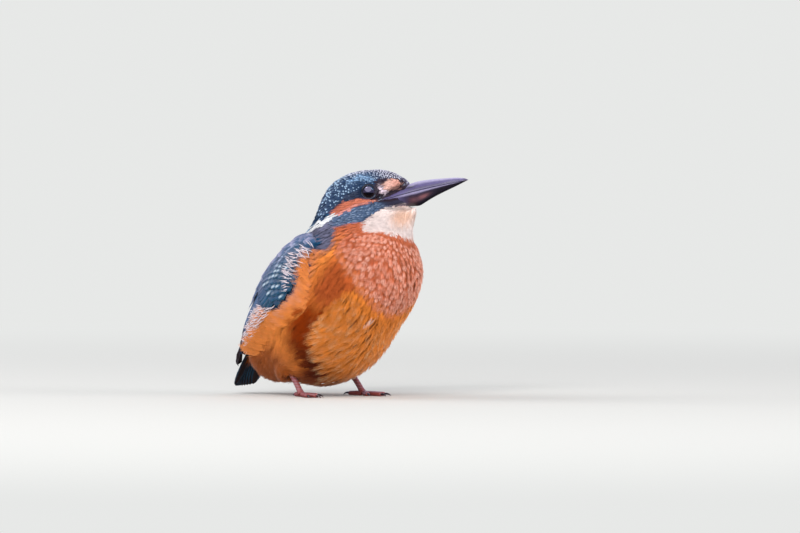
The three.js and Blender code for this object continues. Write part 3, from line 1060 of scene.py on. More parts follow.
# how far each marking reaches at each place, from 0 to 1
def marksAt(points, normals, wobble=None):
    f, l, u = inAxes(points, skull)
    if wobble is not None:
        f, u = f + wobble[:, 0], u + wobble[:, 1]
    a, b, h = inAxes(points, body)
    head = headShare(points)
    lateral, soft = smooth(np.abs(l), 1.5, 4.5), 0.35
    m = SimpleNamespace(head=head, a=a, b=b, h=h, f=f, l=l, u=u)
    for name, (low, high) in markEdges.items():
        away = (fromLine if len(headMarks[name][0]) > 2 else fromOutline)(f, u, headMarks[name])
        setattr(m, name, smooth(-away, low, high) * lateral)
    throatLine = heightOn(headMarks["throatEdge"], f)
    malarLine = heightOn([p for p in headMarks["malarEdge"] if p[0] > -13], f)
    overThroat, overMalar = (smooth(u, line - soft, line + soft) for line in (throatLine, malarLine))
    front = smooth(f, 6, 10) * fade(np.abs(l), 3, 5) * fade(u, -10, -8)
    m.throat = np.maximum(overThroat * (1 - overMalar) * smooth(f, -7.2, -6), front * overThroat)
    m.throatLow = m.throat * fade(u, throatLine, throatLine + 3.5)
    # malar band: under the ear stripe and the gape, down to the edge of the throat
    m.earLow = tableAt(headMarks["earLow"], f)
    top = np.where(f < 3, m.earLow, tableAt(headMarks["gape"], f) + 2.5)
    m.malar = smooth(top - u, -0.3, 0.3) * overMalar * smooth(f, -21, -17) * (1 - m.ear)
    # dark lores between the eye, the orange spot and the bill
    lores = smooth(-fromOutline(f, u, headMarks["loreDark"]), -0.5, 0.5)
    m.loreDark = lores * smooth(np.abs(l), 0.5, mix(4.5, 1.6, smooth(f, 6, 11)))
    m.fore = smooth(f + 0.6 * u, 4, 13)
    crownLine = tableAt(headMarks["crown"], f)
    m.crown = smooth(u, crownLine - 0.4, crownLine + 0.4)
    napeLine = tableAt(headMarks["nape"], f)
    nape = smooth(-f, 8, 14) * smooth(u, napeLine, napeLine + 1)
    around = np.degrees(np.arctan2(np.abs(b), h))
    spine, bellyLine = (tableAt(bodyMarks[name], a) for name in ("spine", "belly"))
    scalyLine = tableAt(bodyMarks["scaly"], around)
    belowTail = (points - np.array(tail["base"])) @ tail["back"]
    upper = np.maximum(smooth(points[:, 2], 28, 36), smooth(belowTail, -5, -1.5))
    dorsal = fade(around, spine, spine + 7) * upper
    m.back = np.maximum(np.where(head < 0.5, dorsal, 0), nape)
    m.rump = smooth(-a, 4, 14) * smooth(h, 2, 8)
    t, c, onWing, reach, _ = wingPlace(points, normals)
    beyond = reach * (1 - 1 / np.maximum(c, 0.2))
    bareEdge = smooth(t, 0.2, 0.25) * fade(t, 0.40, 0.44) * (beyond > -2) * fade(beyond, 1.0, 2.2)
    m.wingSide = bareEdge * (c > 0.5) * (head < 0.5)
    m.besideWing = smooth(c, -1.9, -1.3) * fade(t, 0.6, 0.8) * smooth(t, 0.0, 0.1) * (points[:, 2] > 30)
    m.below = belowWing(points, normals)
    m.wing = np.where(onWing & (head < 0.6) & (m.below < 0) & ((t > 0.09) | (c < 0)), 1.0, 0.0)
    ahead = (head > 0) * fade(np.abs(around - 180), 80, 95) * smooth(a, 30, 36)
    m.scaly = np.maximum(smooth(a, scalyLine - 4, scalyLine + 3) * (1 - head), ahead)
    bellyShare = smooth(around, bellyLine - 2, bellyLine + 3)
    m.belly = bellyShare * fade(a, scalyLine - 5, scalyLine + 1)
    edge = smooth(around, bellyLine - 3, bellyLine + 1) * fade(around, bellyLine + 5, bellyLine + 13)
    m.bellyEdge = edge * (a < 4)
    # the lower flank beside the belly, where the painted shade is laid
    deep = smooth(around, bellyLine - 36, bellyLine - 12) * (1 - bellyShare)
    m.deep = deep * fade(a, 2, 14) * smooth(-h, -12, 2)
    m.plain = smooth(a, 3, 15) * (1 - m.scaly) * smooth(around, 92, 112)
    m.flankUp = fade(m.below, 2, 9) * smooth(a, -6, 8) * (1 - m.wing)
    m.low = smooth(-a, 12, 34)
    m.under = smooth(-a, 24, 30) * smooth(-belowTail, 0, 2)
    return m


# partings between the belly's plumes, painted dark as shade, and the loose pale wisps beside them, at each
# point
def partings(points):
    a, b, h = inAxes(points, body)
    around = np.degrees(np.arctan2(np.abs(b), h)) * 0.45
    here = points[..., 1] < 3
    found = []
    for name in ("slits", "wisps"):
        lines = [fromLine(a, around, [(p, q * 0.45, r) for p, q, r in line]) for line in bodyMarks[name]]
        found.append(fade(np.min(lines, 0), -0.05, 0.2) * here)
    return found


# tints laid one over another, each by its share
def lay(colour, *coats):
    for name, share in zip(coats[::2], coats[1::2]):
        colour = mix(colour, tints[name], np.clip(share, 0, 1)[..., None])
    return colour


# ground colour at each place, with the tips' and bases' colours left to each coat
def groundAt(points, normals, wobble=None):
    m = marksAt(points, normals, wobble)
    crown = m.crown * smooth(m.f, -36, -28) * m.head
    fore = m.f - 11
    colour = lay(
        np.repeat(tints["flank"][None], len(points), 0),
        "flankUp", m.flankUp * 0.8,
        "plain", m.plain,
        # deeper rufous low on the flank and toward the tail, partly the plumage's own colour and partly
        # painted shade
        "flankDeepAndPaintedShade", np.maximum(m.deep, m.low * 0.45),
        # painted shade, a darker rust on the lower flank toward the tail
        "rustPaintedShade", m.deep * smooth(-m.a, 6, 18) * 0.9,
        "belly", m.belly,
        # painted shade, the belly darker toward the tail and its underside
        "bellyPaintedShade", m.belly * m.low * 1.15,
        "underTail", m.under,
        "breast", np.maximum(m.scaly, m.head),
        "malarFore", m.head * smooth(m.f, 0, 3) * smooth(m.u, -12, -10),
        "back", m.back,
        "rump", m.back * m.rump,
        "shoulder", m.shoulder,
        "crownDark", crown,
        "foreDark", crown * m.fore,
        # a painted violet highlight over the forehead
        "violetPaintedHighlight", crown * smooth(m.f, 12.5, 17) * 0.55,
        "browSpot", m.brow * 0.4,
        "malar", m.malar,
        "malarFore", m.malar * smooth(m.f, 1, 8),
        "loreDark", m.loreDark * 0.9,
        "eyeBand", m.eyeBand,
        "lore", m.lore,
        "ear", m.lore * smooth(m.f, 7.5, 12) * 0.45,
        "loreDark", m.lore * fade(m.u, -1.5, 0.5) * smooth(m.f, 7, 9) * 0.6,
        "ear", m.ear,
        "earEdge", m.ear * fade(m.u, m.earLow + 0.2, m.earLow + 1.1) * 0.8,
        "throat", m.throat,
        "throatWarm", m.throat * fade(np.hypot(fore / 1.2, m.u + 15), 1.5, 6.5) * 0.75,
        "white", m.neckStripe,
        "preEye", m.preEye,
        "wing", np.maximum(m.wing, m.wingSide),
    )
    return colour, m


tail = {
    "base": (-33.5, 0, 36.0), "tip": (-54.6, 0, 2.6), "count": 12, "half": 3.0,
    "fanBase": 0.5, "fanTip": 1.02, "rounding": 2.2,
}
tail["back"] = unit(np.array([tail["tip"][2] - tail["base"][2], 0, tail["base"][0] - tail["tip"][0]]))
skinGround, skinMarks = groundAt(skinPoints, skinNormals)
# the skin seen between feathers is painted darker as shade in the gaps, less so under the throat
setTones(skin.data, skinGround * mix(0.7, 1.0, skinMarks.throat)[:, None])
report("skin marked")


# finishes

# fine parallel barbs that run out and forward from the middle of a vane
def makeBarbGroup():
    values = {"Barbs": 26.0, "Contrast": 0.35, "Shaft": 0.25}
    tree, given = nodeGroup("featherBarbs", {"Vane": "Vector"}, values)
    place = addNode(tree, "SeparateXYZ", {0: given["Vane"]}).outputs

    def maths(kind, *values):
        return addNode(tree, "Math", dict(enumerate(values)), operation=kind).outputs[0]

    side = maths("ABSOLUTE", place["X"])
    slant = maths("SUBTRACT", place["Y"], maths("MULTIPLY", side, 0.16))
    wave = maths("SINE", maths("MULTIPLY", maths("MULTIPLY", slant, given["Barbs"]), 6.283))
    ridge = maths("MULTIPLY_ADD", wave, 0.5, 0.5)
    shaft = maths("LESS_THAN", side, 0.05)
    dark = maths("MULTIPLY", maths("SUBTRACT", 1.0, ridge), given["Contrast"])
    level = maths("SUBTRACT", maths("SUBTRACT", 1.0, dark), maths("MULTIPLY", shaft, given["Shaft"]))
    closeGroup(tree, given["Tint"], level, "Height", maths("ADD", ridge, maths("MULTIPLY", shaft, 0.8)))
    return tree


# slow changes of shade over the body, which break up even stretches of colour
def makeMottleGroup():
    tree, given = nodeGroup("softMottle", {}, {"Scale": 300.0, "Depth": 0.15})
    place = addNode(tree, "TexCoord").outputs["Object"]
    noise = addNode(tree, "TexNoise", {"Detail": 5, "Vector": place, "Scale": given["Scale"]}).outputs["Fac"]
    level = noise
    for by, more in ((2.4, -1.2), (given["Depth"], 1.0)):
        level = addNode(tree, "Math", {0: level, 1: by, 2: more}, operation="MULTIPLY_ADD").outputs[0]
    closeGroup(tree, given["Tint"], level, "Value", noise)
    return tree


def nodeGroup(name, kinds, values):
    tree = bpy.data.node_groups.new(name, "ShaderNodeTree")
    for label, kind in {**kinds, "Tint": "Color", **dict.fromkeys(values, "Float")}.items():
        socket = tree.interface.new_socket(name=label, in_out="INPUT", socket_type=f"NodeSocket{kind}")
        if label in values:
            socket.default_value = values[label]
    return tree, tree.nodes.new("NodeGroupInput").outputs


# a group gives its tint at some level of light, and one value for bumps
def closeGroup(tree, tint, level, name, value):
    tree.interface.new_socket(name="Color", in_out="OUTPUT", socket_type="NodeSocketColor")
    tree.interface.new_socket(name=name, in_out="OUTPUT", socket_type="NodeSocketFloat")
    tinted = addNode(tree, "VectorMath", {0: tint, "Scale": level}, operation="SCALE").outputs[0]
    fillNode(tree, tree.nodes.new("NodeGroupOutput"), {"Color": tinted, name: value})


barbGroup = makeBarbGroup()
mottleGroup = makeMottleGroup()
sockets = {
    "rough": "Roughness", "specular": "Specular IOR Level", "tint": "Specular Tint", "coat": "Coat Weight",
    "coatRough": "Coat Roughness", "sheen": "Sheen Weight", "sheenRough": "Sheen Roughness",
}


# tints come from the piece's points, broken up by a mottle of that scale and depth; a bump is its
# strength and height; barbs, if any, are how many, how dark between them and how dark their shaft
def finishOf(name, mottle, bump=None, barbs=None, **looks):
    material, tree, shader = newMaterial(name, {sockets[look]: value for look, value in looks.items()})
    tint = addNode(tree, "Attribute", attribute_name="tone").outputs["Color"]
    values = {"Scale": mottle[0], "Depth": mottle[1], "Tint": tint}
    colour, height = addNode(tree, "Group", node_tree=mottleGroup, inputs=values).outputs
    if barbs:
        vane = addNode(tree, "UVMap", uv_map="vane").outputs[0]
        values = {"Vane": vane, "Tint": colour, "Barbs": barbs[0], "Contrast": barbs[1], "Shaft": barbs[2]}
        colour, height = addNode(tree, "Group", node_tree=barbGroup, inputs=values).outputs
    fillNode(tree, shader, {"Base Color": colour})
    if bump:
        raised = addNode(tree, "Bump", {"Strength": bump[0], "Distance": bump[1] * mm, "Height": height})
        fillNode(tree, shader, {"Normal": raised.outputs[0]})
    return material


def plumage(name, bump, barbs, **looks):
    return finishOf(name, (420.0, 0.14), (bump, 0.05), barbs, sheenRough=0.4, **looks)


def horny(name, scale, depth, bump, rough, specular, coat=0.0, coatRough=0.1, **looks):
    looks = {"rough": rough, "specular": specular, "coat": coat, "coatRough": coatRough, **looks}
    return finishOf(name, (scale, depth), bump and (bump, 0.06), **looks)


finishes = {
    "skin": finishOf("downySkin", (1500.0, 0.4), (0.5, 0.2), rough=0.9, specular=0.15),
    "soft": plumage("softPlumage", 0.08, (14.0, 0.12, 0.0), rough=0.85, specular=0.06, sheen=0.15),
    "sleek": plumage("sleekPlumage", 0.25, (10.0, 0.2, 0.1), rough=0.6, specular=0.25),
    "flight": plumage("flightFeathers", 0.25, (40.0, 0.35, 0.5), rough=0.45, specular=0.45),
    "wing": plumage("wingCoverts", 0.25, (16.0, 0.4, 0.3), rough=0.5, specular=0.4),
    "bill": horny("billHorn", 700.0, 0.2, 0.25, 0.32, 0.5, 0.2, 0.22),
    "eye": horny("glossyEye", 2500.0, 0.25, None, 0.04, 0.85, tint=(0.72, 0.68, 1.0, 1)),
    "lid": horny("lidSkin", 3000.0, 0.2, 0.4, 0.5, 0.4),
    "leg": horny("scalyLegs", 1800.0, 0.25, 0.35, 0.42, 0.5, 0.1, 0.3),
    "claw": horny("clawHorn", 1500.0, 0.2, 0.15, 0.28, 0.5, 0.2, 0.2),
}
enrol(skin, finishes["skin"], "breast_feathers", "trunk", "neck", "head", "thigh_left", "thigh_right")


# laying the coat

patchHalf = 0.0015  # each tuft is a patch this far each way from its root on the skin's map
coatCount = []


# joins like feathers into one piece, tones given for each feather and each point of the pattern
def dress(name, parts, finish, slot, softness, *nodes):
    gathered = {key: [] for key in ("laid", "faces", "tones", "vane", "bake", "ups")}
    first = 0
    for part in parts:
        pattern, shape = part["pattern"], part["laid"].shape[:2]
        s, x = np.clip(pattern["s"], 0, 1), np.clip(pattern["x"], -1, 1)
        starts = first + np.arange(shape[0]) * shape[1]
        for key in ("laid", "tones", "ups"):
            gathered[key].append(part[key].reshape(-1, 3))
        gathered["faces"].append((pattern["faces"][None] + starts[:, None, None]).reshape(-1, 3))
        gathered["vane"].append(np.broadcast_to(np.stack([x, s], 1), (*shape, 2)).reshape(-1, 2))
        patch = faceUv[part["face"]][:, None] + (np.stack([x, s * 2 - 1], 1) * patchHalf)[None]
        gathered["bake"].append(patch.reshape(-1, 2))
        first += shape[0] * shape[1]
    found = {key: np.concatenate(values) for key, values in gathered.items()}
    made = meshFrom(name, found["laid"], found["faces"])
    setTones(made.data, found["tones"])
    setUv(made.data, "vane", found["vane"])
    setUv(made.data, "OFBake", found["bake"])
    # light falls on the strands mostly as on the coat they lie in
    leaning = unit(mix(read(made.data.vertices, "normal"), found["ups"], softness))
    made.data.normals_split_custom_set_from_vertices(leaning.tolist())
    enrol(made, finishes[finish], slot, *nodes)
    coatCount.append(len(made.data.polygons))
    report(f"{name}: {sum(len(p['laid']) for p in parts)} feathers, {coatCount[-1]} triangles")


coat = {  # spacing, length, half width, root lift and tip lift of the feathers of each region
    "face": (0.85, 1.9, 0.5, 0.05, 0.35),
    "crown": (1.15, 2.9, 0.72, 0.1, 0.75),
    "malar": (1.05, 2.7, 0.65, 0.1, 0.75),
    "throat": (1.1, 4.2, 1.0, 0.1, 0.32),
    "nape": (1.5, 4.2, 0.95, 0.15, 0.95),
    "breast": (2.0, 5.4, 1.45, 0.2, 1.1),
    "plain": (1.8, 6.5, 1.3, 0.2, 1.7),
    "flank": (1.85, 8.5, 1.5, 0.3, 2.3),
    "belly": (1.9, 8.5, 1.5, 0.3, 1.9),
    "back": (2.3, 7.0, 1.7, 0.3, 1.8),
    "rump": (2.2, 8.0, 1.7, 0.3, 2.0),
}


# the coat's sizes at each place
def coatAt(points, normals):
    m = marksAt(points, normals)
    f, u, head, body = m.f, m.u, m.head, 1 - m.head
    eye = np.hypot(f, u)
    beside = (m.back * body * m.besideWing)[:, None] * np.array([0, 2.5, 0.4, 0, 2.6])
    now = np.repeat(np.array(coat["flank"])[None], len(points), 0)
    for name, share in (
        ("plain", smooth(m.a, 6, 18)),
        ("belly", m.belly),
        ("breast", m.scaly),
        ("back", m.back * body),
        ("rump", m.rump * body),
        ("nape", head),
        ("throat", smooth(-u, 8, 14) * head * smooth(f, -10, -4)),
        ("malar", head * smooth(-u, 2, 6) * fade(-u, 9, 13) * smooth(f, -24, -16)),
        ("crown", head * smooth(u, -6, -2) * smooth(f, -24, -14)),
        ("face", head * np.maximum(smooth(f, 1, 5) * smooth(u, -12, -8), fade(eye, 4, 6.5))),
    ):
        # plumes beside the wing are longer and stand higher
        now = now + (beside if name == "nape" else 0)
        now = mix(now, np.array(coat[name])[None], np.clip(share, 0, 1)[:, None])
    return now, m


def wanted(points, normals):
    f, l, u = inAxes(points, skull)
    aroundEye = (np.hypot(f + 0.7, u + 0.4) > 3.5) | (np.abs(l) < 3)
    t, c, onWing, _, _ = wingPlace(points, normals)
    hidden = onWing & (t > 0.03) & (c < 0.97) & (headShare(points) < 0.5)
    bare = (onBillBase(f, u) > 0.15) | (f > 19.0)
    return aroundEye & ~hidden & ~bare


def perFeather(rng, n, spread=0.12):
    return 1 + rng.normal(0, spread, n).clip(-2 * spread, 2 * spread)


# every contour feather of the head and body
def growCoat():
    rng = np.random.default_rng(seeds["coat"])
    points, normals, faces = scatter(lambda p: coatAt(p, p * 0 + [0, 0, 1])[0][:, 0], wanted, seeds["roots"])
    report(f"{len(points)} roots")
    shape, m = coatAt(points, normals)
    n = len(points)
    lengths = shape[:, 1] * perFeather(rng, n)
    angles = rng.normal(0, 0.09, n) + 0.12 * rng.normal(0, 1, n) * (1 - m.head) * (1 - m.scaly)
    places, ups = walk(points, normals, lengths, angles)
    seen = places[:, 4]
    wobble = rng.normal(0, 0.25, (n, 2))
    ground, seenMarks = groundAt(seen, ups[:, 4], wobble)
    kinds = {
        "small": (m.head > 0.5) & (shape[:, 1] < 3.9),
        "plume": ((m.scaly < 0.35) & (m.head < 0.5) & (m.back < 0.5)),
    }
    tufty = np.maximum(m.throat, np.maximum(m.ear, m.lore)) > 0.4
    kinds["fine"] = kinds["small"] & ~tufty
    kinds["tuft"] = (kinds["small"] & tufty) | ((m.throat > 0.4) & ~kinds["small"] & ~kinds["plume"])
    kinds["vane"] = ~kinds["small"] & ~kinds["plume"] & ~kinds["tuft"]
    return {
        "rng": rng, "faces": faces, "shape": shape, "marks": seenMarks,
        "places": places, "ups": ups, "ground": ground, "kinds": kinds,
    }


grown = growCoat()
report("feathers led over the skin")


# lays the chosen feathers with a few patterns of one kind
def layKind(chosen, patterns, thick, camber, paint):
    rng = grown["rng"]
    index = np.flatnonzero(chosen)
    which = rng.integers(0, len(patterns), len(index))
    parts = []
    for k, pattern in enumerate(patterns):
        i = index[which == k]
        if not len(i):
            continue
        _, _, half, rootLift, tipLift = grown["shape"][i].T
        widths = half * perFeather(rng, len(i))
        tips = tipLift * perFeather(rng, len(i), 0.1)
        roll = rng.normal(0, 0.06, (len(i), 1))
        places, normals = grown["places"][i], grown["ups"][i]
        laid, ups = layPattern(pattern, places, normals, widths, thick, rootLift, tips, camber, roll)
        m = SimpleNamespace(**{k: v[i][:, None] for k, v in vars(grown["marks"]).items()})
        ground = np.repeat(grown["ground"][i][:, None], len(pattern["s"]), 1)
        tones = paint(m, pattern["s"][None], pattern["x"][None], ground, (len(i), 1), rng)
        if paint is paintPlume:
            slits, wisps = partings(laid)
            # painted shade in the belly's partings, and pale wisps beside them
            tones = lay(tones, "partingShade", slits * 0.85, "white", wisps * 0.7)
        parts.append(partOf(pattern, laid, ups, grown["faces"][i], tones))
    return parts


def partOf(pattern, laid, ups, face, tones):
    return {"pattern": pattern, "laid": laid, "ups": ups, "face": face, "tones": tones}


def lighter(rng, one, low, high):
    return rng.uniform(low, high, (*one, 1))


# head feathers: dark with a pale bar near the tip on crown and malar band
def paintHead(m, s, x, ground, one, rng):
    colour = ground * lighter(rng, one, 0.86, 1.1)
    f, u, across = m.f, m.u, np.abs(x)
    crest = fade(np.abs(m.l), 3, 6.5) * smooth(u, -2, 3)
    top = np.maximum.reduce([smooth(u, 6, 9.5), m.fore, crest])
    reach = mix(0.27, 1.0, top)
    bar = peak(s, 0.88, mix(0.1, 0.16, top)) * fade(across, reach, reach + 0.25)
    other = np.maximum.reduce([m.lore, m.ear, m.preEye, m.neckStripe, m.loreDark, 0.9 * m.eyeBand])
    chance = rng.random(one)
    clear = np.maximum(top * smooth(f, -20, -8), m.brow)
    strong = mix(smooth(chance, 0.1, 0.75), mix(0.7, 1.0, chance), clear)
    mark = bar * m.crown * (1 - other) * strong
    streak = fade(across, 0.15, 0.4) * smooth(s, 0.55, 0.75) * fade(f, 4, 10)
    edge = m.lore * fade(m.lore, 0.7, 1.0)
    return lay(
        colour,
        "crownSpot", mark,
        "foreSpot", mark * np.maximum(m.fore, top * smooth(f, -13, -3)),
        "browSpot", m.brow * smooth(s, 0.55, 0.8) * fade(across, 0.5, 0.9) * mix(0.3, 0.9, chance),
        "malarSpot", streak * m.malar * 0.7 * strong,
        "loreDark", (chance < 0.4) * edge * smooth(s, 0.6, 0.9),
    )


def paintTuft(m, s, x, ground, one, rng):
    colour = ground * lighter(rng, one, 0.92, 1.06)
    chosen, speckle = rng.random(one) < 0.45, rng.random(one) < 0.35
    edge = m.lore * fade(m.lore, 0.75, 1.0)
    return lay(
        colour,
        "throatEdge", m.throatLow * smooth(s, 0.4, 1.0) * mix(0.25, 0.95, chosen),
        "loreDark", speckle * edge * smooth(s, 0.3, 0.9),
    )


def paintBody(m, s, x, ground, one, rng):
    colour, across = ground * lighter(rng, one, 0.86, 1.1), np.abs(x)
    scaly = m.scaly * (1 - m.throat) * (1 - m.shoulder) * (1 - m.back) * (1 - m.crown * m.head)
    chance = rng.random(one)
    spot = smooth(s, 0.4, 0.66) * fade(across, 0.8, 1.3)
    side = smooth(np.degrees(np.arctan2(np.abs(m.b), m.h)), 96, 118)
    dot = peak(s, 0.88, 0.08) * fade(across, 0.25, 0.5)
    return lay(
        colour,
        "breastGap", scaly * fade(s, 0.3, 0.55) * mix(0.4, 0.8, chance),
        # pale tips spread wider toward the breast's front, partly the plumage's own scaling and partly
        # painted light on that lit edge
        "breastTip", scaly * spot * mix(0.2, 0.75, chance) * mix(0.25, 1.0, side),
        "crownSpot", dot * m.crown * m.head * smooth(chance, 0.2, 0.8) * (1 - m.neckStripe),
    )


def paintPlume(m, s, x, ground, one, rng):
    # each plume is painted a little darker toward its root, a painted shade where it lies under others
    colour = ground * lighter(rng, one, 0.85, 1.1) * mix(0.9, 1.0, smooth(s, 0.1, 0.6))[..., None]
    plain = (1 - m.throat) * (1 - m.wing) * (1 - m.shoulder)
    chance = rng.random(one)
    pale = m.belly * (0.14 + 0.86 * chance**2) + m.bellyEdge * (0.12 + 0.65 * chance)
    return lay(
        colour,
        "bellyPale", plain * pale * smooth(s, 0.55, 1.0),
        "underTailTip", m.under * smooth(s, 0.8, 1.0) * 0.5,
        "flankPale", plain * fade(m.below, 0.5, 4) * smooth(s, 0.6, 1.0) * chance * 0.6,
    )


def locks(strands, draws, **values):
    return [lockPattern(strands, seed, **values) for seed in draws]


finePatterns = [vanePattern([0.2, 0.55, 0.72, 0.82, 0.9, 0.96], 4, seed) for seed in (1, 2)]
tuftPatterns = locks(9, (11, 12, 13), segments=2, thick=0.09, fan=0.8)
breastPatterns = locks(19, (3, 4, 5), segments=4, fan=0.95)
plumePatterns = locks(13, (6, 7, 8, 9))
hairPatterns = locks(5, (31, 32, 33), thick=0.075, fan=0.9, rise=0.6)
# which feathers and how many to a piece, patterns, thickness, camber, paint, finish, slot, softness
coatKinds = {
    "headFeathers": ("fine", 1500, finePatterns, 0.1, 0.16, paintHead, "sleek", "crown_feathers", 0.5),
    "throatTufts": ("tuft", 1900, tuftPatterns, 0.1, 0.12, paintTuft, "soft", "breast_feathers", 0.85),
    "breastFeathers": ("vane", 440, breastPatterns, 0.16, 0.15, paintBody, "soft", "breast_feathers", 0.8),
    "bodyPlumes": ("plume", 950, plumePatterns, 0.3, 0.1, paintPlume, "soft", "breast_feathers", 0.8),
}
for name, (kind, most, patterns, thick, camber, paint, finish, slot, softness) in coatKinds.items():
    index = np.flatnonzero(grown["kinds"][kind])
    for k in range(0, len(index), most):
        chosen = np.zeros(len(grown["faces"]), bool)
        chosen[index[k : k + most]] = True
        laidOut = layKind(chosen, patterns, thick, camber, paint)
        dress(f"{name}{k // most + 1}", laidOut, finish, slot, softness)


# wings

def ringOutward():
    _, normals, _ = settle(wingPoints)
    for _ in range(12):
        normals[1:-1] = unit(normals[:-2] + 2 * normals[1:-1] + normals[2:])
    return normals


# the outer face of the folded right wing, as a smoothed grid over t and c
def mapWing():
    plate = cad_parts["wing_right"].data
    tree = BVHTree.FromPolygons(birdPoints(plate).tolist(), trianglesOf(plate).tolist())
    outward = ringOutward()
    across = unit(np.cross(outward, wingTangents))
    ts, cs = np.linspace(0, 1, gridT + 1), np.linspace(-1, 1, gridC + 1)
    grid = np.empty((len(ts), len(cs), 3))
    for i, t in enumerate(ts):
        k = int(round(t * wingSteps))
        for j, c in enumerate(cs):
            at = wingPoints[k] + across[k] * c * wingHalf(t, c) * 0.96
            hit, _, _, _ = tree.ray_cast(at + outward[k] * 9, -outward[k], 20)
            if hit is None:
                hit, _, _, _ = tree.find_nearest(at)
            grid[i, j] = hit
    for _ in range(3):
        inner = (grid[:-2, 1:-1] + grid[2:, 1:-1] + grid[1:-1, :-2] + grid[1:-1, 2:]) / 4
        grid[1:-1, 1:-1] = mix(grid[1:-1, 1:-1], inner, 0.6)
    normals = unit(np.cross(np.gradient(grid, axis=1), np.gradient(grid, axis=0)))
    outward = outward[:: wingSteps // gridT, None]
    facing = (normals * outward).sum(-1, keepdims=True)
    normals = unit(np.where(facing < 0, -normals, normals) + 0.5 * outward)
    return grid, normals


wingGrid, wingNormals = mapWing()
wingLength = np.linalg.norm(np.diff(wingPoints, axis=0), axis=1).sum()


def wingAt(t, c):
    x = np.clip(t, 0, 1) * gridT
    y = (np.clip(c, -1, 1) + 1) * (gridC // 2)
    i, j = np.minimum(x.astype(int), gridT - 1), np.minimum(y.astype(int), gridC - 1)
    u, v = (x - i)[..., None], (y - j)[..., None]
    found = []
    for grid in (wingGrid, wingNormals):
        low = mix(grid[i, j], grid[i, j + 1], v)
        high = mix(grid[i + 1, j], grid[i + 1, j + 1], v)
        found.append(mix(low, high, u))
    past = np.maximum(t - 1, 0)[..., None] * wingLength
    return found[0] + wingTangents[-1] * past, unit(found[1])


# the right wing's places and directions, turned over for the left
def mirrored(side, *values):
    return [v * np.array([1, -1, 1]) if side > 0 else v for v in values]


# how many; t and c of roots and of tips, from the lowest feather to the highest; lifts off the wing
wingRows = {
    "primary": {
        "count": 9, "rootT": (0.5, 0.42), "rootC": (0.3, -0.2), "tipT": (1.0, 0.8), "tipC": (0.2, -0.3),
        "half": 2.1, "rootLift": (-0.3, 0.1), "tipLift": (0.1, 0.7),
    },
    "secondary": {
        "count": 10, "rootT": (0.38, 0.32), "rootC": (0.7, -0.35), "tipT": (0.82, 0.62), "tipC": (0.3, -0.5),
        "half": 2.5, "rootLift": (0.0, 0.2), "tipLift": (0.35, 0.9),
    },
    "greater": {
        "count": 13, "rootT": (0.32, 0.27), "rootC": (0.97, -0.5), "tipT": (0.52, 0.47),
        "tipC": (0.95, -0.62), "half": 2.0, "rootLift": (0.3, 0.3), "tipLift": (1.0, 1.2),
    },
}
lesser = {"step": 2.75, "length": 6.4, "half": 1.75, "from": 0.0, "to": 0.36, "top": 0.5, "lift": (0.3, 1.6)}
scapular = {"count": 62, "length": (7, 14), "half": 1.9, "c": (-1.12, -0.45), "t": (-0.02, 0.45)}
cover = {
    "thick": 0.3,
    "gap": 1.4,
    "length": 6.5,
    "half": 1.3,
    "last": 0.76,
    "rootLift": 0.4,
    "tipLift": 1.9,
    "from": "flank",
    "band": (4.8, 99),
    "tries": 9000,
}
hairs = {
    "thick": 0.12,
    "gap": 1.0,
    "length": 5.6,
    "half": 0.24,
    "rootLift": 1.0,
    "tipLift": 2.2,
    "from": "hairs",
    "band": (1.2, 8.5),
}
lap = {
    "rows": 4,
    "gap": 1.1,
    "length": 10.5,
    "half": 1.4,
    "thick": 0.3,
    "first": 0.0,
    "last": 0.78,
    "rootLift": 0.2,
    "tipLift": 1.8,
    "sink": (1.0, 0.8, 0.52, 0.26, 0.08, 0),
}
whiteDots = {  # t and c of the clear spots on the coverts
    "at": [
        (0.45, 0.03), (0.42, 0.10), (0.38, 0.19), (0.33, 0.28), (0.28, 0.30), (0.21, 0.40), (0.30, 0.08),
        (0.25, 0.16), (0.42, 0.55), (0.38, 0.56), (0.33, 0.63), (0.47, 0.3), (0.36, 0.85),
    ],
    "near": 1.5,
    "faint": 0.1,
}


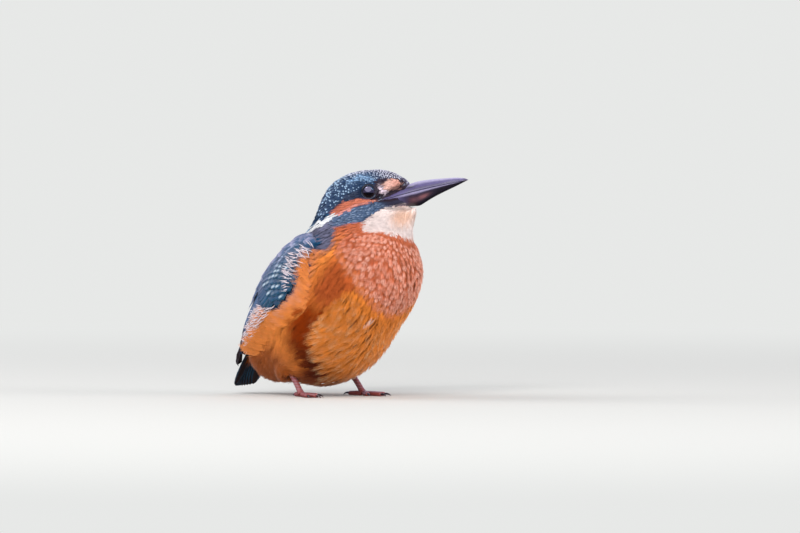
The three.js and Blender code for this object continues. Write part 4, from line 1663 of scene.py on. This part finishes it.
def wingFeathers(side):
    rng = np.random.default_rng(seeds["wing"] + side)
    groups = []
    way = np.linspace(0, 1, vaneStations)
    for look, row in wingRows.items():
        count = row["count"]
        k = np.linspace(0, 1, count)
        t1 = mix(*row["tipT"], k) + rng.normal(0, 0.004, count)
        t = mix(mix(*row["rootT"], k)[:, None], t1[:, None], way)
        c = mix(mix(*row["rootC"], k)[:, None], mix(*row["tipC"], k)[:, None], way)
        groups.append((look, t, c, row["half"], mix(*row["rootLift"], k), mix(*row["tipLift"], k)))
    # lesser and median coverts in staggered rows
    t0, c0 = [], []
    row = 0
    t = lesser["from"]
    while t < lesser["to"]:
        for edge, table in ((-1, wing["back"]), (1, wing["belly"])):
            half = tableAt(table, t)
            for j in range(int(half / lesser["step"]) + 2):
                off = (j + (0.5 if row % 2 else 0.0)) * lesser["step"]
                if (off > 0 or edge > 0) and off < half * (0.97 if edge > 0 else lesser["top"]):
                    t0.append(t)
                    c0.append(edge * off / half)
        t += lesser["step"] * 0.8 / wingLength
        row += 1
    t0 = np.array(t0) + rng.normal(0, 0.003, len(t0))
    c0 = np.array(c0) + rng.normal(0, 0.02, len(c0))
    t = t0[:, None] + way * lesser["length"] / wingLength
    groups.append(("spotted", t, c0[:, None] + 0 * way, lesser["half"], *lesser["lift"]))
    # scapulars lie over the wing's upper edge
    n = scapular["count"]
    t0 = np.sort(rng.uniform(*scapular["t"], n))
    c0 = mix(*scapular["c"], (np.arange(n) * 0.618) % 1)
    length = mix(*scapular["length"], smooth(t0, 0, 0.35)) * perFeather(rng, n, 0.08)
    t = t0[:, None] + way * (length / wingLength)[:, None]
    c = c0[:, None] + way * 0.1
    half = scapular["half"] * perFeather(rng, n, 0.1)
    groups.append(("scapular", t, c, half, 0.5, rng.uniform(1.3, 2.0, n)))
    shown = []
    for look, t, c, *sizes in groups:
        past = c[:, -1] - tableAt(wing["flank"], t[:, -1])
        rooted = look in ("primary", "secondary")
        here = (past < 0.3) & (c[:, 0] < tableAt(wing["flank"], t[:, 0]) + 0.15) | rooted
        shown.append((look, t[here], c[here], *(np.broadcast_to(v, len(t))[here] for v in sizes)))
    return shown


# how clear a spot each wing feather's tip bears
def spotShare(t, c, rng):
    half = wingHalf(t, c)
    far = [np.hypot((t - dotT) * wingLength, (c - dotC) * half) for dotT, dotC in whiteDots["at"]]
    clear = fade(np.min(far, 0), whiteDots["near"] * 0.7, whiteDots["near"] * 1.3)
    return np.maximum(clear, whiteDots["faint"] * (rng.random(len(t)) < 0.5))[:, None]


def plainTones(name, one, pattern, rng, low, high):
    return np.ones((one[0], len(pattern["s"]), 3)) * tints[name] * lighter(rng, one, low, high)


def paintWing(look, t, c, pattern, rng):
    s, x, one = pattern["s"][None], pattern["x"][None], (len(t), 1)
    across = np.abs(x)
    colour = plainTones("primary" if look == "primary" else "wing", one, pattern, rng, 0.68, 1.15)
    edge = smooth(across, 0.45, 0.9)
    along = mix(t[:, :1], t[:, -1:], s)
    if look == "primary":
        # painted violet highlight along the flight feathers' edges
        violetPaintedHighlight = smooth(across, 0.5, 0.9) * fade(along, 0.65, 0.85) * 0.5
        return lay(colour, "scapular", fade(along, 0.6, 0.82) * 0.8, "violetPaintedHighlight", violetPaintedHighlight)
    if look == "secondary":
        # painted violet highlight along the secondaries' edges
        return lay(colour, "scapular", 0.7 + 0 * along, "violetPaintedHighlight", smooth(across, 0.4, 0.9) * 0.55)
    if look == "scapular":
        # painted violet highlight on the scapulars' edges and tips
        violetPaintedHighlight = np.maximum(edge, smooth(s, 0.6, 0.95)) * mix(0.25, 0.85, rng.random(one))
        return lay(colour, "scapular", 0.75 + 0 * s, "violetPaintedHighlight", violetPaintedHighlight)
    # pale violet streaks on the coverts, a painted highlight
    streak = fade(np.abs(x + 0.3), 0.1, 0.3) * smooth(s, 0.3, 0.8) * mix(0.1, 0.45, rng.random(one))
    spot = peak(s, 0.8, 0.17) * fade(across, 0.15, 0.34) * spotShare(t[:, -1], c[:, -1], rng)
    streak = streak * fade(c[:, -1:], -0.2, 0.5)
    return lay(colour, "wingEdge", edge * 0.35, "violetPaintedHighlight", streak, "wingSpot", spot)


longVane = [vanePattern([0.06, 0.25, 0.5, 0.72, 0.84, 0.92, 0.975], 0, 21, broad=0.75, root=0.45)]
covertVane = [vanePattern([0.12, 0.4, 0.65, 0.78, 0.86, 0.93, 0.98], 10, seed) for seed in (22, 23)]
wingPieces = {
    "Flight": ("flight", longVane, ("primary", "secondary")),
    "Coverts": ("wing", covertVane, ("greater", "spotted", "scapular")),
}
paleLine = {
    "at": [(0.06, -0.6), (0.12, -0.45), (0.18, -0.3), (0.25, -0.12), (0.31, 0.03)],
    "half": 0.42, "over": (0.2, -0.2),
}


# the long pale line down the folded wing
def onStreak(laid):
    p = laid.reshape(-1, 3)
    p = np.where(p[:, 1:2] > 0, p * np.array([1, -1, 1]), p)
    line = wingAt(*np.array(paleLine["at"]).T)[0]
    up = wingAt(*(np.array([v]) for v in paleLine["over"]))[1][0]
    best = np.full(len(p), 1e9)
    for a, b in zip(line[:-1], line[1:]):
        share = np.clip(((p - a) @ (b - a)) / ((b - a) @ (b - a)), 0, 1)
        gap = p - a - share[:, None] * (b - a)
        gap = gap - (gap @ up)[:, None] * up
        best = np.minimum(best, np.linalg.norm(gap, axis=1))
    return fade(best, paleLine["half"] * 0.5, paleLine["half"] * 1.3).reshape(laid.shape[:2])


def makeWing(side, name):
    rng = np.random.default_rng(seeds["vanes"] + side)
    groups = wingFeathers(side)
    for label, (finish, patterns, looks) in wingPieces.items():
        parts = []
        for look, t, c, half, rootLift, tipLift in groups:
            if look not in looks:
                continue
            pattern = patterns[rng.integers(len(patterns))]
            places, normals = mirrored(side, *wingAt(t, c))
            laid, ups = layPattern(pattern, places, normals, half, 0.14, rootLift, tipLift, 0.12)
            tones = paintWing(look, t, c, pattern, rng)
            if label == "Coverts":
                tones = lay(tones, "wingStreak", onStreak(laid) * 0.75)
            parts.append(partOf(pattern, laid, ups, settle(places[:, 0])[2], tones))
        node = [f"wing_{name}"] if label == "Coverts" else []
        dress(f"wing{label}_{name}", parts, finish, "wing_feathers", 0.3, *node)


# plumes of a few patterns, which says the pattern of each, with their tips' lift shared out by low
def layPlumes(patterns, which, places, normals, faces, values, low, paint, rng):
    parts = []
    for k, pattern in enumerate(patterns):
        i = np.flatnonzero(which == k)
        n = len(i)
        half = values["half"] * perFeather(rng, n)
        tips = values["tipLift"] * (1.0 if values.get("steady") else perFeather(rng, n)) * low[i]
        roots = np.full(n, values["rootLift"])
        laid, ups = layPattern(pattern, places[i], normals[i], half, values["thick"], roots, tips, 0.1)
        parts.append(partOf(pattern, laid, ups, faces[i], paint(i, (n, 1), pattern, pattern["s"][None])))
    return parts


# the flank's plumes that turn up over the wing's lower part, and the loose pale hairs at their edge
def coverWing(side, name):
    rng = np.random.default_rng(seeds["flank"] + side)
    parts = []
    for sparse, values in enumerate((cover, hairs)):
        t0 = rng.uniform(0, cover["last"], cover["tries"])
        c0 = rng.uniform(-0.5, 1.0, cover["tries"])
        below = (c0 - tableAt(wing[values["from"]], t0)) * wingHalf(t0, c0)
        inside = (below > values["band"][0]) & (below < values["band"][1])
        t0, c0, below = t0[inside], c0[inside], below[inside]
        points, _ = wingAt(t0, c0)
        kept = thinned(points, np.full(len(points), values["gap"]))
        t0, c0, below = t0[kept], c0[kept], below[kept]
        n = len(t0)
        lean = mix(6, 58, smooth(below, 3, 12)) * (1 - 0.6 * fade(t0, 0.2, 0.34)) + rng.normal(0, 8, n)
        if sparse:
            lean = mix(46, 62, smooth(t0, 0.1, 0.3)) + rng.normal(0, 13, n)
        lean = np.radians(lean)
        length = values["length"] * mix(0.85, 1.15, smooth(below, 3, 8)) * perFeather(rng, n)
        t, c = [t0], [c0]
        for _ in range(stationCount - 1):
            up = np.cos(lean) * length / (stationCount - 1) / np.maximum(wingHalf(t[-1], c[-1]), 3)
            c.append(np.maximum(c[-1] - up, -1))
            t.append(t[-1] + np.sin(lean) * length / (stationCount - 1) / wingLength)
        places, normals = mirrored(side, *wingAt(np.stack(t, 1), np.stack(c, 1)))

        def paint(i, one, pattern, s):
            chance, near, far = rng.random(one), t0[i][:, None], below[i][:, None]
            colour = plainTones("flank", one, pattern, rng, 0.9, 1.08)
            colour = lay(colour, "flankUp", fade(near, 0.3, 0.5) * fade(far, 5, 11))
            if sparse:
                colour = lay(colour, "wingHair", smooth(s, -0.25, 0.25) * mix(0.8, 1.0, chance))
                return colour * mix(0.72, 1.0, rng.random(one))[..., None]
            pale = fade(far, 5.0, 9.5) * mix(0.6, 1.0, chance) * mix(1.0, 0.45, smooth(near, 0.55, 0.66))
            return lay(colour, "flankPale", pale * smooth(s, 0.35, 0.85))

        patterns = hairPatterns if sparse else plumePatterns
        low = mix(1.0, 0.4, smooth(t0, 0.5, 0.62))
        faces, which = settle(places[:, 0])[2], rng.integers(0, len(patterns), n)
        parts += layPlumes(patterns, which, places, normals, faces, values, low, paint, rng)
    dress(f"flankPlumes_{name}", parts + lapOver(side, rng), "soft", "breast_feathers", 0.8)


# plumes rooted on the flank just below the wing, which lap over its lower edge
def lapOver(side, rng):
    t0 = np.concatenate([np.arange(lap["first"], lap["last"], lap["gap"] / wingLength)] * lap["rows"])
    row = np.repeat(np.arange(lap["rows"]), len(t0) // lap["rows"])
    n = len(t0)
    t0 = t0 + rng.normal(0, 0.008, n)
    half, line = tableAt(wing["belly"], t0), tableAt(wing["flank"], t0)
    edge, up = wingAt(t0, np.ones(n))
    down = unit(edge - wingAt(t0, np.full(n, 0.8))[0])
    bare = smooth(t0, 0.08, 0.16) * fade(t0, 0.36, 0.5)  # where the wing stays bare to its lower edge
    below = 3.6 + 1.7 * row + 3.0 * bare
    start = edge + down * (below - 0.2 + rng.uniform(0, 0.8, n))[:, None] - up * 2
    lean = np.radians(28 + rng.normal(0, 7, n))
    reach = (below + (1 - line) * half + 0.8 - 2.8 * bare) / np.cos(lean)
    length = np.minimum(lap["length"], reach) * perFeather(rng, n)
    places, normals = [], []
    for k in range(stationCount):
        gone = length * k / (stationCount - 1)
        c = 1 - np.maximum(np.cos(lean) * gone - below, 0) / half
        at, normal = wingAt(t0 + np.sin(lean) * gone / wingLength, c)
        places.append(at + down * np.maximum(below - np.cos(lean) * gone, 0)[:, None])
        normals.append(normal)
    places, normals, start = mirrored(side, np.stack(places, 1), np.stack(normals, 1), start)
    root, _, faces = settle(start)
    away = ((places[:, 0] - root) * normals[:, 0]).sum(-1)
    sink = np.clip(away, 0, 5)[:, None] * np.array(lap["sink"])[None]
    places = places - normals * sink[..., None]

    def paint(i, one, pattern, s):
        colour = plainTones("flank", one, pattern, rng, 0.78, 0.96)
        pale = smooth(line[i][:, None], 0.6, 0.9) * smooth(s, 0.55, 1.0) * mix(0.0, 0.4, rng.random(one))
        return lay(colour, "flankUp", fade(t0[i][:, None], 0.25, 0.4) * 0.3, "flankPale", pale)

    which = rng.integers(0, len(plumePatterns), n)
    return layPlumes(plumePatterns, which, places, normals, faces, lap, np.ones(n), paint, rng)


for side, name in ((-1, "right"), (1, "left")):
    makeWing(side, name)
    coverWing(side, name)


# tail

coverts = {  # first and last place along the tail, and how far off its face the first and the last row lie
    "under": {
        "rows": 5, "across": 7, "way": (0.12, 0.5), "length": 8.5, "half": 1.9, "pitch": 1.15,
        "lift": (3.4, 0.9), "side": -1, "tint": "underTail", "tip": "underTailTip", "thick": 0.25,
        "rootLift": 0.0, "tipLift": 0.5, "steady": True,
    },
    "upper": {
        "rows": 4, "across": 6, "way": (0.12, 0.42), "length": 9, "half": 1.7, "pitch": 1.1,
        "lift": (2.0, 1.1), "side": 1, "tint": "rump", "tip": "back", "thick": 0.25, "rootLift": 0.0,
        "tipLift": 0.5, "steady": True,
    },
}


def makeTail():
    rng = np.random.default_rng(seeds["tail"])
    base = np.array(tail["base"], float)
    line = np.array(tail["tip"], float) - base
    reach, n = np.linalg.norm(line), tail["count"]
    way = np.linspace(0, 1, vaneStations)
    k = np.arange(n)[:, None] - (n - 1) / 2
    share = np.abs(k) / 5.5
    along = way * (1 - tail["rounding"] * share**2 / reach)
    high = -1.6 * share**2 * way + 0.35 * np.sin(math.pi * way)
    fan = k * mix(tail["fanBase"], tail["fanTip"], way)
    places = base + line * along[..., None] + sideways * fan[..., None] + tail["back"] * high[..., None]
    ups = np.broadcast_to(tail["back"], places.shape).copy()
    ups[..., 1] += np.linspace(-0.12, 0.12, n)[:, None]
    lifts = 0.75 - 0.13 * np.abs(k[:, 0])
    pattern = longVane[0]
    laid, ups = layPattern(pattern, places, unit(ups), np.full(n, tail["half"]), 0.16, lifts, lifts, 0.04)
    tones = plainTones("tailBlue", (n, 1), pattern, rng, 0.85, 1.1)
    under = np.maximum(smooth(-pattern["z"], 0.1, 0.3), smooth(pattern["s"], 0.8, 1.0) * 0.35)
    tones = lay(tones, "tailUnder", under[None])
    parts = [partOf(pattern, laid, ups, settle(places[:, 0])[2], tones)]
    dress("tailFeathers", parts, "flight", "tail_feathers", 0.1, "tail")
    parts = [part for values in coverts.values() for part in layCoverts(values, base, line, reach, rng)]
    dress("tailCoverts", parts, "soft", "tail_feathers", 0.7)


# the soft coverts that lie along the tail: orange below it and blue above
def layCoverts(values, base, line, reach, rng):
    row, k = np.divmod(np.arange(values["rows"] * values["across"]), values["across"])
    k = k - (values["across"] - 1) / 2 + np.where(row % 2, 0.25, -0.25)
    n = len(k)
    rootWay = mix(*values["way"], row / (values["rows"] - 1)) + rng.normal(0, 0.015, n)
    length = values["length"] * perFeather(rng, n)
    step = np.linspace(0, 1, stationCount)[None]
    way = rootWay[:, None] + step * (length / reach)[:, None]
    beside = k[:, None] * values["pitch"] * mix(0.9, 1.25, step)
    sag = np.linspace(*values["lift"], values["rows"])[row][:, None] * (1 - 0.35 * step)
    rounded = 1 - 0.35 * (np.abs(k) / (values["across"] / 2)) ** 2
    places = base + line * way[..., None] + sideways * beside[..., None]
    places = places + tail["back"] * (values["side"] * sag * rounded[:, None])[..., None]
    normals = np.broadcast_to(tail["back"] * values["side"], places.shape)
    normals = normals + sideways * (beside * 0.12)[..., None]

    def paint(i, one, pattern, s):
        colour = plainTones(values["tint"], one, pattern, rng, 0.88, 1.08)
        return lay(colour, values["tip"], smooth(s, 0.75, 1.0) * 0.45)

    faces = settle(places[:, 0])[2]
    which = np.arange(n) % 2
    return layPlumes(plumePatterns[:2], which, places, unit(normals), faces, values, np.ones(n), paint, rng)


makeTail()
report(f"{sum(coatCount)} triangles of coat")


def finishPiece(made, finish, tones, slot, *nodes):
    setTones(made.data, tones)
    made.data.shade_smooth()
    enrol(made, finishes[finish], slot, *nodes)


def tonesOf(count, name):
    return np.repeat(tints[name][None], count, 0)


# bill

# one mandible, shaped from a sphere whose poles are its root and its tip
def makeMandible(upper):
    name = "billUpper" if upper else "billLower"
    made = primitive(bpy.ops.mesh.primitive_uv_sphere_add, name, segments=48, ring_count=72, radius=1)
    p = read(made.data.vertices, "co")
    along = np.arccos(np.clip(-p[:, 2], -1, 1)) / math.pi
    f = mix(bill["root"], bill["tip"], 1 - (1 - along) ** 1.25)
    angle = np.arctan2(p[:, 1], p[:, 0])
    closed = smooth(along, 0, 0.012) * fade(along, 0.992, 1.0)
    across, high = np.cos(angle), np.sin(angle)
    half = easedTable(bill["half"], f)
    meet = billMeet(f)
    if upper:
        tall = easedTable(bill["top"], f) - meet
        over = np.maximum(high, 0)
        ridge = over ** 1.15
        lip = 0.12
        l = half * np.sign(across) * np.abs(across) ** 0.8 * (1 - 0.06 * over)
        u = np.where(high >= 0, tall * ridge - lip, -lip - 0.35 * np.abs(high) * np.minimum(half, 1))
        groove = peak(f, bill["nostril"][0], 2.3) * peak(u + meet, bill["nostril"][1], 0.42)
        furrow = peak(u, tall * 0.55, 0.16 * tall + 0.05) * smooth(f, 14, 19) * fade(f, 27, 37)
        l = l - np.sign(l) * (0.55 * groove + 0.16 * furrow) * (np.abs(across) > 0.1)
    else:
        tall = meet - easedTable(bill["under"], f)
        under = np.maximum(-high, 0)
        keel = under ** 1.1
        l = half * 0.965 * np.sign(across) * np.abs(across) ** 0.85 * (1 - 0.1 * under)
        u = np.where(high <= 0, -tall * keel - 0.1, 0.12 * high)
        furrow = peak(u, -tall * 0.4, 0.15 * tall + 0.05) * smooth(f, 12, 18) * fade(f, 24, 34)
        l = l - np.sign(l) * 0.14 * furrow
    middle = fromAxes(f, 0 * f, meet + (u * 0 + (0.3 * tall if upper else -0.3 * tall)), skull)
    placed = fromAxes(f, l, meet + u, skull)
    setPoints(made.data, middle + (placed - middle) * closed[:, None])
    tones = tonesOf(len(f), "bill")
    if upper:
        tones = lay(
            tones,
            # a painted highlight along the top of the culmen
            "billPaintedHighlight", smooth(over, 0.62, 0.95) * smooth(f, 10, 20) * 0.6,
            "billLow", peak(over, 0.3, 0.08) * smooth(f, 13, 18) * 0.85,
            "billDark", np.maximum(groove, fade(over, 0.03, 0.16)),
            "billDark", fade(f, 9, 15) * smooth(over, 0.5, 0.8) * 0.8,
        )
    else:
        red = peak(f, 21.8, 2.6) * peak(under, 0.55, 0.14)
        red = np.maximum(red, 0.5 * peak(f, 17.5, 2.0) * peak(under, 0.6, 0.2))
        tones = lay(
            tones,
            "billLow", smooth(under, 0.12, 0.3) * smooth(f, 9, 17) * 0.95,
            # a thin painted highlight along the lower mandible's upper edge
            "billPaintedHighlight", peak(under, 0.1, 0.06) * smooth(f, 8, 14) * 0.5,
            "billRed", red * 0.9,
            "billDark", smooth(under, 0.68, 0.88) * smooth(f, 12, 18),
            "billDark", smooth(f, 24, 30) * smooth(under, 0.2, 0.5) * 0.8,
        )
    tones = lay(tones, "billTip", smooth(f, 39.6, 41.6) * 0.75)
    finishPiece(made, "bill", tones, "bill", "bill_upper" if upper else "bill_lower")


makeMandible(True)
makeMandible(False)
report("bill shaped")


# eyes

def makeEye(side, name):
    axis = skull["left"] * side
    centre = skull["origin"] + axis * bird["eyeSpread"]
    ahead, over = skull["forward"], skull["up"]
    sphere = {"segments": 72, "ring_count": 48, "radius": 1}
    ball = primitive(bpy.ops.mesh.primitive_uv_sphere_add, f"eyeball_{name}", **sphere)
    p = read(ball.data.vertices, "co")
    out = p[:, 2]
    radial = np.hypot(p[:, 0], p[:, 1])
    r = bird["eyeRadius"]
    rim, dome = cornea["rim"], cornea["radius"]
    # the dome's top lies a little below the middle
    aside = np.hypot(p[:, 0] * r, p[:, 1] * r + cornea["low"])
    high = np.sqrt(dome**2 - np.minimum(aside, dome * 0.9) ** 2) - math.sqrt(dome**2 - rim**2)
    high = high + math.sqrt(r**2 - rim**2)
    depth = np.where((out > 0) & (radial * r < rim), high, out * r)
    placed = centre + r * (p[:, :1] * ahead + p[:, 1:2] * over) + depth[:, None] * axis
    setPoints(ball.data, placed)
    if np.dot(np.cross(ahead, over), axis) < 0:
        ball.data.flip_normals()
    tones = tonesOf(len(p), "pupil")
    tones = lay(tones, "iris", smooth(radial, 0.40, 0.44) * fade(radial, 0.68, 0.74))
    finishPiece(ball, "eye", tones, "eye", f"eye_{name}")
    ring = {"major_segments": 96, "minor_segments": 14, "major_radius": 1, "minor_radius": 0.25}
    lid = primitive(bpy.ops.mesh.primitive_torus_add, f"eyelids_{name}", **ring)
    q = read(lid.data.vertices, "co")
    turn = np.arctan2(q[:, 1], q[:, 0])
    ring = np.hypot(q[:, 0], q[:, 1]) - 1
    rise = q[:, 2]
    corner = np.abs(np.cos(turn)) ** 8
    bead = 1 + 0.10 * np.sin(turn * 34) ** 2
    radius = 2.95 + 0.15 * corner + ring * 1.3 * bead
    height = np.sqrt(np.maximum(bird["eyeRadius"] ** 2 - np.minimum(radius, 4.0) ** 2, 0)) + 0.1
    height = height + rise * 1.1 * bead - 0.10 * corner
    placed = centre + radius[:, None] * (np.cos(turn)[:, None] * ahead + np.sin(turn)[:, None] * over)
    placed = placed + height[:, None] * axis
    setPoints(lid.data, placed)
    if np.dot(np.cross(ahead, over), axis) < 0:
        lid.data.flip_normals()
    tones = tonesOf(len(q), "lid")
    # a thin pale line on the lids' rim, strongest below, is a painted highlight
    lower = smooth(-np.sin(turn + 0.25), -0.1, 0.5)
    tones = lay(tones, "lidPaintedHighlight", smooth(rise, 0.0, 0.15) * smooth(ring, 0.0, 0.12) * (0.02 + 0.7 * lower))
    finishPiece(lid, "lid", tones, "eye")


cornea = {"radius": 8.2, "rim": 3.3, "low": 0.6}
for side, name in ((-1, "right"), (1, "left")):
    makeEye(side, name)
report("eyes set")


# legs and feet

leg = {"voxel": 0.18, "grow": 0.16, "smoothing": 6, "scutes": 1.2, "scuteDepth": 0.12}
toeNames = ("middle", "outer", "inner", "hind")


def makeFoot(name):
    nodes = [f"leg_{name}"] + [f"toe_{toe}_{name}" for toe in toeNames]
    copies = [copyNode(node, f"bare_{node}") for node in nodes]
    for made in copies:
        swell(made, leg["grow"])
    foot = shellRound(copies, f"foot_{name}", leg["voxel"], leg["smoothing"])
    points, normals = birdPoints(foot.data), read(foot.data.vertices, "normal")
    floor = points[:, 2].min()
    # scutes: shallow rings along each toe and the front of the leg, pads below
    away = fromHeel(points, name)
    onLeg = smooth(points[:, 2], 1.8, 3.0)
    ringAt = mix(away, points[:, 2], onLeg) / leg["scutes"]
    saw = ringAt % 1
    ridge = np.minimum(saw / 0.25, 1) * (1 - 0.6 * saw) - 0.35
    upper = np.clip(normals[:, 2] * (1 - onLeg) + 0.8 * onLeg, 0, 1)
    points = points + normals * (ridge * leg["scuteDepth"] * upper)[:, None]
    points[:, 2] = np.maximum(points[:, 2], floor)
    lowest = (points + shift)[:, 2].min()
    points[:, 2] -= lowest
    setPoints(foot.data, points)
    tones = tonesOf(len(points), "legSkin")
    tones = lay(tones, "legDark", fade(saw, 0.0, 0.22) * upper * 0.75)
    # a painted highlight on the scutes' crests where they face up
    tones = lay(tones, "legPaintedHighlight", smooth(saw, 0.3, 0.8) * smooth(upper, 0.4, 0.95) * 0.6)
    finishPiece(foot, "leg", tones, "leg_skin", *nodes)
    for toe in toeNames:
        node = f"claw_{toe}_{name}"
        hook = copyNode(node, f"hook_{toe}_{name}")
        applyModifier(hook, "SUBSURF", levels=2, render_levels=2)
        q = birdPoints(hook.data)
        far = fromHeel(q, name)
        share = (far - far.min()) / (far.max() - far.min())
        q[:, 2] = np.maximum(q[:, 2], -shift[2] + 0.02)
        setPoints(hook.data, q)
        tones = lay(tonesOf(len(q), "claw"), "clawTip", smooth(share, 0.6, 1) * 0.5)
        finishPiece(hook, "claw", tones, "claw", node)


def fromHeel(points, name):
    x, y = heels[name]
    return np.hypot(points[:, 0] - x, points[:, 1] - y)


heels = {"right": (-4.2, -14.0), "left": (4.0, 16.0)}
for name in ("right", "left"):
    makeFoot(name)
report("feet shaped")

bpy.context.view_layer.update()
report("finished")
